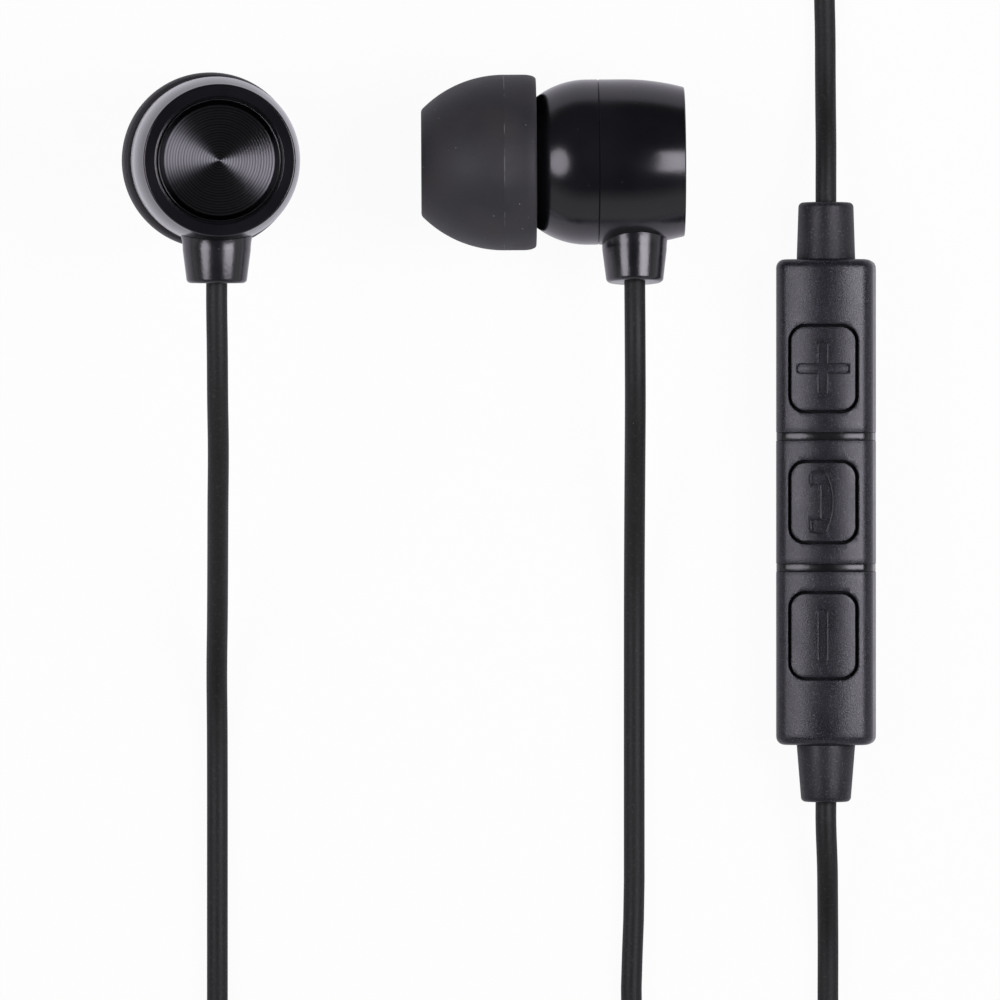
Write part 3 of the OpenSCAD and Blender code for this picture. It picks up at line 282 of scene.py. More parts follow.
def softened(piece, width, segments=3, angle=30, clamp=True):
    edges = {"limit_method": "ANGLE", "angle_limit": radians(angle), "use_clamp_overlap": clamp}
    return applied(piece, "BEVEL", width=width, segments=segments, **edges)


def moved(piece, matrix):
    pick(piece)
    piece.matrix_world = matrix
    bpy.ops.object.transform_apply(location=True, rotation=True, scale=True)
    return piece


def sliced(piece, way, step, reach):
    # cuts across the whole piece, so that its long faces shade evenly
    offCentre = 0.0037
    editAll(piece)
    for k in range(-int(reach / step), int(reach / step) + 1):
        selectAll()
        bpy.ops.mesh.bisect(plane_co=Vector(way) * (k * step + offCentre), plane_no=way)
    objectMode()


def settled(piece, place, nodes, smooth=30, body="earphones"):
    moved(piece, Matrix.Scale(mm, 4) @ place)
    bpy.ops.object.shade_smooth_by_angle(angle=radians(smooth))
    applied(piece, "WEIGHTED_NORMAL", keep_sharp=True)
    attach(piece, body)
    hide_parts(*nodes)
    return piece


def arc(x, y, radius, start, end, steps):
    angles = [radians(start + (end - start) * i / steps) for i in range(steps + 1)]
    return [(x + radius * cos(a), y + radius * sin(a)) for a in angles]


def roundedOutline(corners, steps=8):
    # corners of (x, y, radius)
    points = []
    for i, (x, y, radius) in enumerate(corners):
        here = Vector((x, y))
        if radius == 0:
            points.append((x, y))
            continue
        a = (Vector(corners[i - 1][:2]) - here).normalized()
        b = (Vector(corners[(i + 1) % len(corners)][:2]) - here).normalized()
        half = a.angle(b) / 2
        centre = here + (a + b).normalized() * radius / sin(half)
        first = here + a * radius / tan(half) - centre
        last = here + b * radius / tan(half) - centre
        start = atan2(first.y, first.x)
        sweep = (atan2(last.y, last.x) - start + 3 * pi) % tau - pi
        for k in range(steps + 1):
            angle = start + sweep * k / steps
            points.append((centre.x + radius * cos(angle), centre.y + radius * sin(angle)))
    return points


def block(width, low, high, radius):
    half = width / 2
    return [(-half, low, radius), (half, low, radius), (half, high, radius), (-half, high, radius)]


# earbud shells
shell = {
    "radius": 5.9, "rearLength": 6.15, "domeStart": 0.8, "barrelStart": 1.8, "barrelCurve": 16.6,
    "split": 0.06, "endEdge": 0.15, "endFrom": 5.12, "endTo": 0.12, "shoulder": 3.6, "soft": 0.045,
    "tongue": [(4.98, 0.7), (5.33, 0.7), (5.33, 0)],
    "throat": [(4.35, -3.2), (4.35, -2.4), (4.98, -2.4), (4.98, 0.7)],
    "rearInside": [(0, 4.95), (5, 4.95), (5, 0.72), (5.35, 0.72), (5.35, 0)],
}
nozzle = {
    "neck": 2.25, "neckFrom": 0.45, "neckTo": 0.9, "barb": 2.5, "barbFrom": 0.85, "barbTo": 0.65,
    "barbTaper": 0.25, "bore": 1.55, "boreFrom": 0.1, "reach": 10.4, "meshSeat": 1.97, "meshDeep": 0.2,
}


def barrelDrop(z):
    past = max(0, z - shell["barrelStart"])
    return shell["barrelCurve"] - sqrt(shell["barrelCurve"] ** 2 - past**2)


def barrelOutline(more=0):
    straight = shell["rearLength"] - shell["endEdge"]
    points = [(shell["radius"] + more - shell["split"], 0)]
    for k in range(25):
        z = shell["split"] + (straight - shell["split"]) * k / 24
        points.append((shell["radius"] + more - barrelDrop(z), z))
    rim = points[-1][0] - shell["endEdge"]
    return points + arc(rim, straight + more, shell["endEdge"], 15, 90, 8)


def frontShell(side):
    neck, barb, bore, seat = nozzle["neck"], nozzle["barb"], nozzle["bore"], nozzle["meshSeat"]
    reach, deep = nozzle["reach"], nozzle["meshDeep"] - nozzle["reach"]
    domeEnd = -degrees(acos(shell["shoulder"] / shell["radius"]))
    dome = arc(0, -shell["domeStart"], shell["radius"], 0, domeEnd, 28)
    shoulder = dome[-1][1]
    outline = (
        shell["tongue"]
        + [(shell["radius"] - shell["split"], 0), (shell["radius"], -shell["split"])]
        + dome
        + [(neck, shoulder - nozzle["neckFrom"]), (neck, nozzle["neckTo"] - reach)]
        + [(barb, nozzle["barbFrom"] - reach), (barb, nozzle["barbTo"] - reach)]
        + [(barb - nozzle["barbTaper"], -reach), (seat, -reach), (seat, deep), (bore, deep)]
        + [(bore, shoulder - nozzle["boreFrom"])]
        + shell["throat"]
    )
    piece = softened(turned(side + "FrontShell", outline), shell["soft"], 2, 50)
    return settled(piece, placeOf[side], [side + "_front_shell"])


def rearShell(side):
    end, gap, base = shell["rearLength"], disc["gap"], disc["base"]
    outline = shell["rearInside"] + barrelOutline() + [(shell["endFrom"], end), (gap + shell["endTo"], end)]
    outline += [(gap, end), (gap, base), (0, base)]
    piece = turned(side + "RearShell", outline)
    neckHole = rod(relief["neck"] + relief["clear"], relief["inside"], relief["holeEnd"])
    carved(piece, moved(neckHole, reliefAxis))
    softened(piece, shell["soft"], 2, 50, clamp=False)
    return settled(piece, placeOf[side], [side + "_rear_shell"])


# cap disc: turned grooves inside a chamfered rim
disc = {
    "radius": 4.28, "gap": 4.5, "base": 5.65, "top": 6.05, "edge": 0.1, "rimOut": 4.2, "rimIn": 4.1,
    "rimDrop": 0.01, "chamfer": 0.03, "face": 3.88, "faceDrop": 0.08, "grooves": 20, "groove": 0.014,
}


def capDisc(side):
    top, face = disc["top"], disc["face"]
    level = top - disc["faceDrop"]
    outline = [(0, disc["base"]), (disc["radius"], disc["base"]), (disc["radius"], top - disc["edge"])]
    outline += [(disc["rimOut"], top), (disc["rimIn"], top - disc["rimDrop"])]
    outline.append((face + disc["chamfer"], level))
    parts = disc["grooves"] * 4
    for k in range(parts + 1):
        ridge = disc["groove"] * (1 - abs(k % 4 - 2) / 2)
        outline.append((face * (1 - k / parts), level + ridge))
    piece = softened(turned(side + "CapDisc", outline), 0.03, 2, 40)
    # a map of radius and angle, for the grooves that run round it
    rounds = piece.data.uv_layers.new(name="rounds")
    for patch in piece.data.polygons:
        angles = []
        for loop in patch.loop_indices:
            spot = piece.data.vertices[piece.data.loops[loop].vertex_index].co
            angles.append(atan2(spot.y, spot.x) / tau)
        middle = atan2(patch.center.y, patch.center.x) / tau
        for loop, angle in zip(patch.loop_indices, angles):
            spot = piece.data.vertices[piece.data.loops[loop].vertex_index].co
            if spot.xy.length < 2 * weld:
                angle = middle
            rounds.data[loop].uv = (spot.xy.length, middle + (angle - middle + 0.5) % 1 - 0.5)
    return settled(piece, placeOf[side], [side + "_cap_disc"], 35)


# strain relief on each bud: its root follows the shell, a flange holds it inside
relief = {
    "at": 2.55, "reach": 8.65, "root": 2.3, "rootDeep": 0.7, "end": 2.05, "wide": 1.045, "flare": 0.15,
    "flareLength": 1.1, "edge": 0.3, "neck": 1.7, "bore": 0.77, "inside": 3, "holeEnd": 7, "boreEnd": 9,
    "formEnd": 6.17, "clear": 0.02, "ahead": (9, -6, 0.02, 16),
    "held": [(0, 3.93), (2.2, 3.93), (2.2, 4.43), (1.7, 4.43), (1.7, 6.2), (0, 6.2)],
}
reliefAxis = shift(0, 0, relief["at"]) @ turn(90, "X")


def strainRelief(side):
    start = shell["radius"] - relief["rootDeep"]
    flare = []
    for k in range(13):
        u = k / 12
        flare.append((relief["root"] + relief["flare"] * (1 - u) ** 2, start + relief["flareLength"] * u))
    edge = relief["edge"]
    tipEdge = arc(relief["end"] - edge, relief["reach"] - edge, edge, 0, 90, 6)
    boot = turned(side + "StrainRelief", [(0, start)] + flare + tipEdge + [(0, relief["reach"])], 96)
    moved(boot, reliefAxis @ Matrix.Diagonal((relief["wide"], 1, 1, 1)))
    form = [(0, 0)] + barrelOutline(relief["clear"]) + [(0, relief["formEnd"])]
    carved(boot, turned("shellForm", form))
    carved(boot, rod(*relief["ahead"]))
    carved(boot, moved(turned("held", relief["held"], 96), reliefAxis), "UNION")
    carved(boot, moved(rod(relief["bore"], relief["inside"], relief["boreEnd"]), reliefAxis))
    return settled(boot, placeOf[side], [side + "_strain_relief"], 35)


# ear tip: a sleeve over the nozzle, and a domed skirt that folds back from its front
tip = {
    "radius": 6.27, "length": 8.2, "reach": 12.64, "skirt": 0.55, "skirtDeep": 4, "domeCurve": 8.2,
    "domeLength": 5.9, "nose": 0.45, "mouth": 1.9, "rimTuck": 0.32, "rimLength": 0.9, "mouldLine": 0.016,
    "lineHalf": 0.03, "soft": 0.09,
    "sleeve": [(3.6, -11.39), (3.25, -10.99), (3.25, -6.2), (2.53, -6.2), (2.53, -10.42), (1.9, -10.42)],
}


def domeRadius(d, more=0):
    curve = tip["domeCurve"] - more
    return tip["radius"] - tip["domeCurve"] + sqrt(curve**2 - (tip["domeLength"] - d) ** 2)


def earTip(side):
    radius, skirt, line = tip["radius"], tip["skirt"], tip["lineHalf"]
    front = -tip["reach"]
    back = front + tip["length"]
    seam = front + tip["domeLength"]
    # the nose runs smoothly into the dome
    bend = tip["domeCurve"] - tip["nose"]
    noseLength = tip["nose"] * (tip["domeCurve"] - tip["domeLength"]) / bend
    slope = asin((tip["domeLength"] - noseLength) / tip["domeCurve"])
    noseX = radius - tip["domeCurve"] + bend * cos(slope)
    outline = [(tip["mouth"], front)]
    outline += arc(noseX, front + tip["nose"], tip["nose"], -90, -degrees(slope), 6)
    for k in range(1, 25):
        d = noseLength + (tip["domeLength"] - line - noseLength) * k / 24
        outline.append((domeRadius(d), front + d))
    outline += [(radius + tip["mouldLine"], seam), (radius, seam + line)]
    for k in range(7):
        a = radians(15 * k)
        rim = radius - tip["rimTuck"] * (1 - cos(a))
        outline.append((rim, back - tip["rimLength"] * (1 - sin(a))))
    outline.append((radius - skirt, back))
    for k in range(17):
        d = tip["domeLength"] - tip["skirtDeep"] * k / 16
        outline.append((domeRadius(d, skirt), front + d))
    outline += tip["sleeve"] + outline[:1]
    piece = softened(turned(side + "EarTip", outline), tip["soft"], 3, 50)
    return settled(piece, placeOf[side], [side + "_ear_tip"], 40, side + "_tip")


# woven mesh across each nozzle, in a thin ring
mesh = {
    "radius": 1.95, "ring": 0.17, "ringHalf": 0.08, "cell": 0.26, "wire": 0.07, "thick": 0.08,
    "deep": -10.3,
}


def nozzleMesh(side):
    pick()
    cells, deep = int(2 * mesh["radius"] / mesh["cell"]), mesh["deep"]
    grid = {"x_subdivisions": cells, "y_subdivisions": cells, "size": cells * mesh["cell"]}
    bpy.ops.mesh.primitive_grid_add(location=(0, 0, deep), **grid)
    piece = bpy.context.object
    editMode()
    bpy.ops.mesh.select_mode(type="FACE")
    bpy.ops.mesh.select_all(action="DESELECT")
    objectMode()
    inside = mesh["radius"] - mesh["ring"] / 2
    for face in piece.data.polygons:
        face.select = face.center.xy.length > inside
    editMode()
    bpy.ops.mesh.delete(type="FACE")
    selectAll()
    bpy.ops.mesh.inset(thickness=mesh["wire"] / 2, use_individual=True)
    bpy.ops.mesh.delete(type="FACE")
    selectAll()
    bpy.ops.mesh.remove_doubles(threshold=weld)
    bpy.ops.mesh.select_mode(type="VERT")
    objectMode()
    applied(piece, "SOLIDIFY", thickness=mesh["thick"], offset=0)
    low, high = deep - mesh["ringHalf"], deep + mesh["ringHalf"]
    inner, outer = mesh["radius"] - mesh["ring"], mesh["radius"]
    ring = turned("ring", [(inner, low), (outer, low), (outer, high), (inner, high), (inner, low)], 64)
    piece = joined(side + "NozzleMesh", piece, ring)
    return settled(piece, placeOf[side], [side + "_nozzle_mesh"])


pieces = {}
for side in ("left", "right"):
    for build in (frontShell, rearShell, capDisc, strainRelief, earTip, nozzleMesh):
        made = build(side)
        pieces[made.name] = made
print("earbuds modelled")

# remote
remote = {
    "width": 7, "length": 34.8, "thickness": 5.4, "wall": 0.8, "seam": 2.7, "frontCrown": 7,
    "backCrown": 14, "frontSlope": 19.27, "backSlope": 9.21, "corner": 1.3, "endRound": 0.6,
    "dividerAt": 4.7, "grooveDepth": 0.25, "grooveWidth": 0.56, "tailRoom": (1.42, 15, 19),
    "port": (0.4, -1, 1.5, 32), "portAt": -12.5, "soft": 0.035, "cuts": (0.5, 17),
}
remoteAxis = placeOf["remote"] @ shift(0, 0, remote["seam"])
button = {
    "pitch": 9.55, "width": 4.6, "length": 5.95, "callLength": 5.6, "gap": 0.22, "corner": 1.25,
    "lap": 0.1, "crownDeep": 0.6, "flangeBase": 3.48, "flangeTop": 3.83, "flangePast": 0.6,
    "flangeClear": 0.12, "proud": 0.12, "soft": 0.03, "symbolDepth": 0.2, "symbolWidth": 0.7,
    "symbolLength": 3.8, "symbolCorner": 0.3, "symbolInside": 0.1, "cutsAcross": (0.22, 2.3),
    "cutsAlong": (0.45, 2.9),
}


def remoteSection(inset, steps=12):
    half, corner = remote["width"] / 2 - inset, max(0.2, remote["corner"] - inset)
    front, back = remote["frontCrown"] - inset, remote["backCrown"] - inset
    frontSlope, backSlope = radians(remote["frontSlope"]), radians(remote["backSlope"])
    top = remote["thickness"] - inset + front * (1 / cos(frontSlope) - 1)
    low = inset - back * (1 / cos(backSlope) - 1)
    topSide, lowSide = top - half * tan(frontSlope), low + half * tan(backSlope)
    corners = [(-half, lowSide, corner), (0, low, back), (half, lowSide, corner)]
    corners += [(half, topSide, corner), (0, top, front), (-half, topSide, corner)]
    return roundedOutline(corners, steps)


def remoteBar(inset, length):
    return prism("bar", remoteSection(inset), "Y", -length / 2, length / 2)


def halfBox(above):
    low, high = (-2, remote["seam"]) if above else (remote["seam"], remote["thickness"] + 2)
    return prism("half", [(-6, -20), (6, -20), (6, 20), (-6, 20)], "Z", low, high)


def remoteShell(name, above, node):
    piece = softened(remoteBar(0, remote["length"]), remote["endRound"], 5, 60)
    piece.name = name
    carved(piece, remoteBar(remote["wall"], remote["length"] - 2 * remote["wall"]))
    for at in (-remote["dividerAt"], remote["dividerAt"]):
        groove = remoteBar(-1, remote["grooveWidth"])
        carved(groove, remoteBar(remote["grooveDepth"], 2))
        carved(piece, moved(groove, shift(0, at, 0)))
    for way in (-1, 1):
        tail = moved(rod(*remote["tailRoom"]), turn(-90 * way, "X"))
        carved(piece, moved(tail, shift(0, 0, remote["seam"])))
    carved(piece, halfBox(above))
    if above:
        for place, length in buttonPlaces:
            width = button["width"] + 2 * button["gap"]
            high = length / 2 + button["gap"]
            shape = roundedOutline(block(width, -high, high, button["corner"]), 10)
            carved(piece, moved(prism("aperture", shape, "Z", 2, 7), shift(0, place, 0)))
    else:
        carved(piece, moved(rod(*remote["port"]), shift(0, remote["portAt"], 0)))
    softened(piece, remote["soft"], 2, 40, clamp=False)
    if above:
        sliced(piece, (0, 1, 0), *remote["cuts"])
    # closes the slivers the cuts leave at the groove ends
    editAll(piece)
    bpy.ops.mesh.fill_holes(sides=8)
    objectMode()
    return settled(piece, placeOf["remote"], [node], 35)


buttonPlaces = [
    (button["pitch"], button["length"]),
    (0, button["callLength"]),
    (-button["pitch"], button["length"]),
]
earpiece = {"back": 0.72, "curve": 4.9, "step": 0.3}
handset = [(-0.85, 2.2, 0.25), (0.2, 2.26, 0.42)]
for k in range(5, -6, -1):
    y = earpiece["step"] * k
    bow = sqrt(earpiece["curve"] ** 2 - y**2)
    handset.append((earpiece["back"] - earpiece["curve"] + bow, y, 0))
handset += [(0.2, -2.26, 0.42), (-0.85, -2.2, 0.25), (-0.85, -1.25, 0.12), (-0.15, -1.25, 0.12)]
handset += [(-0.15, 1.25, 0.12), (-0.85, 1.25, 0.12)]
armHalf, armEnd, armCorner = button["symbolWidth"] / 2, button["symbolLength"] / 2, button["symbolCorner"]
upright = block(button["symbolWidth"], -armEnd, armEnd, armCorner)
arm = [(armEnd, -armHalf, armCorner), (armEnd, armHalf, armCorner)]
arm += [(armHalf, armHalf, button["symbolInside"])]
cross = []
for k in range(4):
    spin = radians(90 * k)
    for x, y, radius in arm:
        across = x * cos(spin) - y * sin(spin)
        cross.append((across, x * sin(spin) + y * cos(spin), radius))
keys = {
    "plus": {"place": 0, "mark": cross},
    "call": {"place": 1, "mark": handset},
    "minus": {"place": 2, "mark": upright},
}


def remoteKey(name):
    # made flat, then its top is laid over the shell's crown
    at, length = buttonPlaces[keys[name]["place"]]
    top = remote["thickness"] + button["proud"]
    corner = button["corner"] - button["gap"]
    outline = roundedOutline(block(button["width"], -length / 2, length / 2, corner), 10)
    piece = prism(name + "Button", outline, "Z", button["flangeTop"] - button["lap"], top)
    mark = roundedOutline(keys[name]["mark"], 8)
    carved(piece, prism("mark", mark, "Z", top - button["symbolDepth"], top + 1))
    softened(piece, button["soft"], 2, 50, clamp=False)
    sliced(piece, (1, 0, 0), *button["cutsAcross"])
    sliced(piece, (0, 1, 0), *button["cutsAlong"])
    crown = remote["frontCrown"] + button["proud"]
    for spot in piece.data.vertices:
        if spot.co.z > top - button["crownDeep"]:
            spot.co.z -= crown - sqrt(crown**2 - spot.co.x**2)
    width = remote["width"] - 2 * (remote["wall"] + button["flangeClear"])
    high = length / 2 + button["flangePast"]
    plate = roundedOutline(block(width, -high, high, button["corner"]))
    carved(piece, prism("flange", plate, "Z", button["flangeBase"], button["flangeTop"]), "UNION")
    moved(piece, shift(0, at, 0))
    return settled(piece, placeOf["remote"], [name + "_button"], 40, name + "_key")


def dividerBands():
    band = {"inset": 0.02, "width": 0.54, "deep": 0.24, "soft": 0.03}
    rings = []
    for at in (-remote["dividerAt"], remote["dividerAt"]):
        ring = carved(remoteBar(band["inset"], band["width"]), remoteBar(band["deep"], 2))
        rings.append(moved(softened(ring, band["soft"], 2, 50), shift(0, at, 0)))
    piece = joined("dividerBands", *rings)
    return settled(piece, placeOf["remote"], ["remote_divider_bands"], 35)


boots = {
    "bore": 0.77, "flange": 1.8, "flangeFrom": 0.52, "neck": 1.4, "collar": 2.1, "clear": 0.02,
    "reach": 4.1, "round": 0.35, "soft": 0.03,
}


def remoteBoot(name, way, endRadius, node):
    bore, flange, neck, rounding = boots["bore"], boots["flange"], boots["neck"], boots["round"]
    root = remote["length"] / 2 + boots["clear"]
    end = remote["length"] / 2 + boots["reach"]
    wall = remote["length"] / 2 - remote["wall"]
    inside, held = wall - boots["flangeFrom"], wall - boots["clear"]
    outline = [(bore, inside), (flange, inside), (flange, held), (neck, held), (neck, root)]
    outline += [(boots["collar"], root)] + arc(endRadius - rounding, end - rounding, rounding, 0, 90, 6)
    outline += [(bore, end), (bore, inside)]
    piece = softened(turned(name, outline, 96), boots["soft"], 2, 50)
    return settled(piece, remoteAxis @ turn(-90 * way, "X"), [node])


made = [
    remoteShell("remoteFrontShell", True, "remote_front_shell"),
    remoteShell("remoteBackShell", False, "remote_back_shell"),
    *[remoteKey(name) for name in keys],
    dividerBands(),
    remoteBoot("remoteUpperBoot", 1, 1.98, "remote_upper_relief"),
    remoteBoot("remoteLowerBoot", -1, 1.8, "remote_lower_relief"),
]
pieces.update({piece.name: piece for piece in made})
print("remote modelled")

# splitter: a flat moulded body with a collar round each cord
splitter = {
    "width": 6.4, "tail": 4.5, "length": 12, "thickness": 3.8, "taperAt": 5.4, "taperRound": 3,
    "corner": 0.9, "edge": 1, "collar": 1.5, "collarWall": 0.45, "collarRim": 0.2, "collarRoot": 0.5,
    "clear": 0.02, "soft": 0.22, "boreBack": 5.5, "boreLength": 6, "clampRoom": (1.22, 3.9, 7.1),
}


def splitterBody():
    half, tail, length = splitter["width"] / 2, splitter["tail"] / 2, splitter["length"]
    taper, corner = (-splitter["taperAt"], splitter["taperRound"]), splitter["corner"]
    corners = [(-half, 0, corner), (-half, *taper), (-tail, -length, corner)]
    corners += [(tail, -length, corner), (half, *taper), (half, 0, corner)]
    plan, depth = roundedOutline(corners, 10), splitter["thickness"] / 2
    piece = prism("splitterBody", plan, "Z", -depth, depth)
    edges = roundedOutline(block(splitter["width"], -depth, depth, splitter["edge"]), 10)
    carved(piece, prism("edges", edges, "Y", -length - 1, 1), "INTERSECT")
    softened(piece, splitter["soft"], 4, 45)
    long, root = splitter["collar"], splitter["collarRoot"]
    collars = [(side, long, cordSizes["upper"] / 2, -root) for side in (-inlet, inlet)]
    collars += [(0, -length - long, cordSizes["main"] / 2, -length + root)]
    rounding = splitter["collarRim"]
    for x, end, cordRadius, start in collars:
        way = 1 if end > start else -1
        outer, reach = cordRadius + splitter["collarWall"], abs(end - start)
        rim = arc(outer - rounding, reach - rounding, rounding, 0, 90, 4)
        collar = turned("collar", [(0, 0), (outer, 0)] + rim + [(0, reach)], 48)
        carved(piece, moved(collar, shift(x, start, 0) @ turn(-90 * way, "X")), "UNION")
        hole = rod(cordRadius + splitter["clear"], 0, splitter["boreLength"])
        carved(piece, moved(hole, shift(x, end - splitter["boreBack"] * way, 0) @ turn(-90 * way, "X")))
    carved(piece, moved(rod(*splitter["clampRoom"]), turn(90, "X")))
    return settled(piece, placeOf["splitter"], ["splitter_body"], 40)


# plug
plug = {
    "reliefLength": 10, "reliefRadius": 2.3, "reliefWall": 0.45, "grooves": 4, "groovePitch": 1.8,
    "grooveWidth": 0.6, "grooveFloor": 1.4, "gripRadius": 3.2, "gripLength": 16, "gripRound": 0.7,
    "taperAt": 11.5, "taperRound": 4, "noseRadius": 2.56, "noseRound": 0.5, "edge": 0.15, "rim": 0.5,
    "clear": 0.02, "stemRoom": 1.52, "socket": 1.47, "socketDeep": 4, "soft": 0.08,
    "gripSoft": 0.04,
    "stem": [(1.5, 10), (1.5, 11.5), (0, 11.5), (0, 6)],
}


def plugRelief():
    bore, long, edge = cordSizes["main"] / 2 + plug["clear"], plug["reliefLength"], plug["edge"]
    end, outer = cordSizes["main"] / 2 + plug["reliefWall"], plug["reliefRadius"]
    wide, floor = plug["grooveWidth"], plug["grooveFloor"]
    slope = (outer - end - edge) / (long - plug["rim"] - edge)
    outline = [(bore, 0), (end, 0), (end + edge, edge)]
    for k in range(1, plug["grooves"] + 1):
        z = k * plug["groovePitch"]
        low = end + edge + slope * (z - edge)
        outline += [(low, z), (floor, z), (floor, z + wide), (low + slope * wide, z + wide)]
    outline += [(outer, long - plug["rim"]), (outer, long)] + plug["stem"]
    outline += [(bore, plug["stem"][-1][1]), (bore, 0)]
    piece = softened(turned("plugRelief", outline, 96), plug["soft"], 3, 50)
    return settled(piece, placeOf["plug"], ["plug_strain_relief"])


def plugGrip():
    start, end = plug["reliefLength"], plug["reliefLength"] + plug["gripLength"]
    room, socket, floor = plug["stemRoom"], plug["socket"], end - plug["socketDeep"]
    radius, taperAt = plug["gripRadius"], start + plug["taperAt"]
    corners = [(room, start, 0), (radius, start, plug["gripRound"]), (radius, taperAt, plug["taperRound"])]
    corners += [(plug["noseRadius"], end, plug["noseRound"]), (socket, end, 0), (socket, floor, 0)]
    corners += [(0, floor, 0), (0, start + room, 0), (room, start + room, 0)]
    outline = roundedOutline(corners)
    piece = softened(turned("plugGrip", outline + outline[:1], 96), plug["gripSoft"], 2, 60)
    return settled(piece, placeOf["plug"], ["plug_grip"])


# flat ties round the coils
tie = {"width": 2.2, "thick": 0.3, "low": 0.04, "gap": 0.12, "corner": 0.3, "soft": 0.07}


def coilTie(coil, thickness, angle):
    pitch = thickness + cordSizes["gap"]
    reach = thickness / 2 + tie["gap"]
    first = coil["out"] - pitch * coil["turns"] / coil["layers"] - reach
    last = coil["out"] + reach
    top = thickness / 2 + cordSizes["lift"] + pitch * (coil["layers"] - 1) + reach
    width, wall = last - first, tie["thick"]
    outside = block(width + 2 * wall, tie["low"], top + wall, tie["corner"] + wall)
    strap = prism("strap", roundedOutline(outside, 6), "Y", -tie["width"] / 2, tie["width"] / 2)
    inside = block(width, tie["low"] + wall, top, tie["corner"])
    carved(strap, prism("inside", roundedOutline(inside, 6), "Y", -2, 2))
    softened(strap, tie["soft"], 2, 50, clamp=False)
    place = shift(coil["x"], coil["y"], 0) @ turn(angle, "Z") @ shift((first + last) / 2, 0, 0)
    return moved(strap, place)


def cordTies():
    straps = [coilTie(leftCoil, cordSizes["upper"], 30)]
    straps += [coilTie(mainCoil, cordSizes["main"], angle) for angle in (90, 270)]
    piece = joined("cordTies", *straps)
    return settled(piece, Matrix.Identity(4), ["cord_ties"])


for build in (splitterBody, plugRelief, plugGrip, cordTies):
    made = build()
    pieces[made.name] = made
print("splitter, plug and ties modelled")


# shared effects, each a node group whose outputs vary over the surface
def fed(tree, node, inputs):
    # each input takes a value or another node's output
    for socket, source in inputs.items():
        if isinstance(source, bpy.types.NodeSocket):
            tree.links.new(source, node.inputs[socket])
        else:
            node.inputs[socket].default_value = source
    return node


def add(tree, kind, inputs, **settings):
    node = tree.nodes.new("ShaderNode" + kind)
    for key, value in settings.items():
        setattr(node, key, value)
    return fed(tree, node, inputs)


def newEffect(name, inputs, outputs):
    group = bpy.data.node_groups.new(name, "ShaderNodeTree")
    group.interface.new_socket(name="Vector", in_out="INPUT", socket_type="NodeSocketVector")
    for label, value in inputs.items():
        socket = group.interface.new_socket(name=label, in_out="INPUT", socket_type="NodeSocketFloat")
        socket.default_value = value
    for label in outputs:
        group.interface.new_socket(name=label, in_out="OUTPUT", socket_type="NodeSocketFloat")
    return group, group.nodes.new("NodeGroupInput").outputs, group.nodes.new("NodeGroupOutput")


def ranged(tree, source, low, high, start, end):
    limits = {"Value": source, "From Min": low, "From Max": high, "To Min": start, "To Max": end}
    return add(tree, "MapRange", limits).outputs["Result"]


def calculated(tree, operation, first, second, third=0):
    return add(tree, "Math", {0: first, 1: second, 2: third}, operation=operation).outputs[0]


def fineGrain():
    # moulded texture: its height, its brightest grains where glints are painted into the colour, and slow
    # changes of shade
    group, start, end = newEffect("fineGrain", {"Grain": 0.2, "Cloud": 4}, ["Height", "PaintedGlints", "Shade"])
    vector = start["Vector"]
    fineScale = calculated(group, "DIVIDE", 1, start["Grain"])
    slowScale = calculated(group, "DIVIDE", 1, start["Cloud"])
    fine = add(group, "TexNoise", {"Vector": vector, "Scale": fineScale, "Detail": 3}).outputs["Fac"]
    cells = add(group, "TexVoronoi", {"Vector": vector, "Scale": fineScale}).outputs["Distance"]
    slow = add(group, "TexNoise", {"Vector": vector, "Scale": slowScale, "Detail": 2}).outputs["Fac"]
    sparkle, shade = ranged(group, fine, 0.56, 0.72, 0, 1), ranged(group, slow, 0.35, 0.65, 0, 1)
    fed(group, end, {"Height": calculated(group, "ADD", fine, cells), "PaintedGlints": sparkle, "Shade": shade})
    return group


def dustSpecks():
    # only the cells whose random value is low enough hold a speck
    group, start, end = newEffect("dustSpecks", {"Spacing": 1, "Size": 0.03, "Share": 0.2}, ["Mask"])
    scale = calculated(group, "DIVIDE", 1, start["Spacing"])
    cells = add(group, "TexVoronoi", {"Vector": start["Vector"], "Scale": scale}).outputs
    reach = calculated(group, "MULTIPLY", start["Size"], scale)
    near = calculated(group, "LESS_THAN", cells["Distance"], reach)
    chance = add(group, "SeparateColor", {"Color": cells["Color"]}).outputs["Red"]
    kept = calculated(group, "LESS_THAN", chance, start["Share"])
    fed(group, end, {"Mask": calculated(group, "MULTIPLY", near, kept)})
    return group


def turnedLines():
    # fine lines round the local Z axis
    group, start, end = newEffect("turnedLines", {"Spacing": 0.1}, ["Height"])
    level = add(group, "SeparateXYZ", {"Vector": start["Vector"]}).outputs["Z"]
    line = calculated(group, "DIVIDE", level, start["Spacing"])
    lines = add(group, "TexNoise", {"W": line, "Scale": 1, "Detail": 3}, noise_dimensions="1D")
    fed(group, end, {"Height": lines.outputs["Fac"]})
    return group


def brokenSeam():
    # a lighter line at one height on the local Z axis, broken up by noise
    group, start, end = newEffect("brokenSeam", {"Level": 0, "Width": 0.03}, ["Mask"])
    level = add(group, "SeparateXYZ", {"Vector": start["Vector"]}).outputs["Z"]
    near = calculated(group, "ABSOLUTE", calculated(group, "SUBTRACT", level, start["Level"]), 0)
    inside = calculated(group, "LESS_THAN", near, start["Width"])
    breaks = add(group, "TexNoise", {"Vector": start["Vector"], "Scale": 0.45, "Detail": 2}).outputs["Fac"]
    kept = ranged(group, breaks, 0.47, 0.56, 0, 1)
    fed(group, end, {"Mask": calculated(group, "MULTIPLY", inside, kept)})
    return group


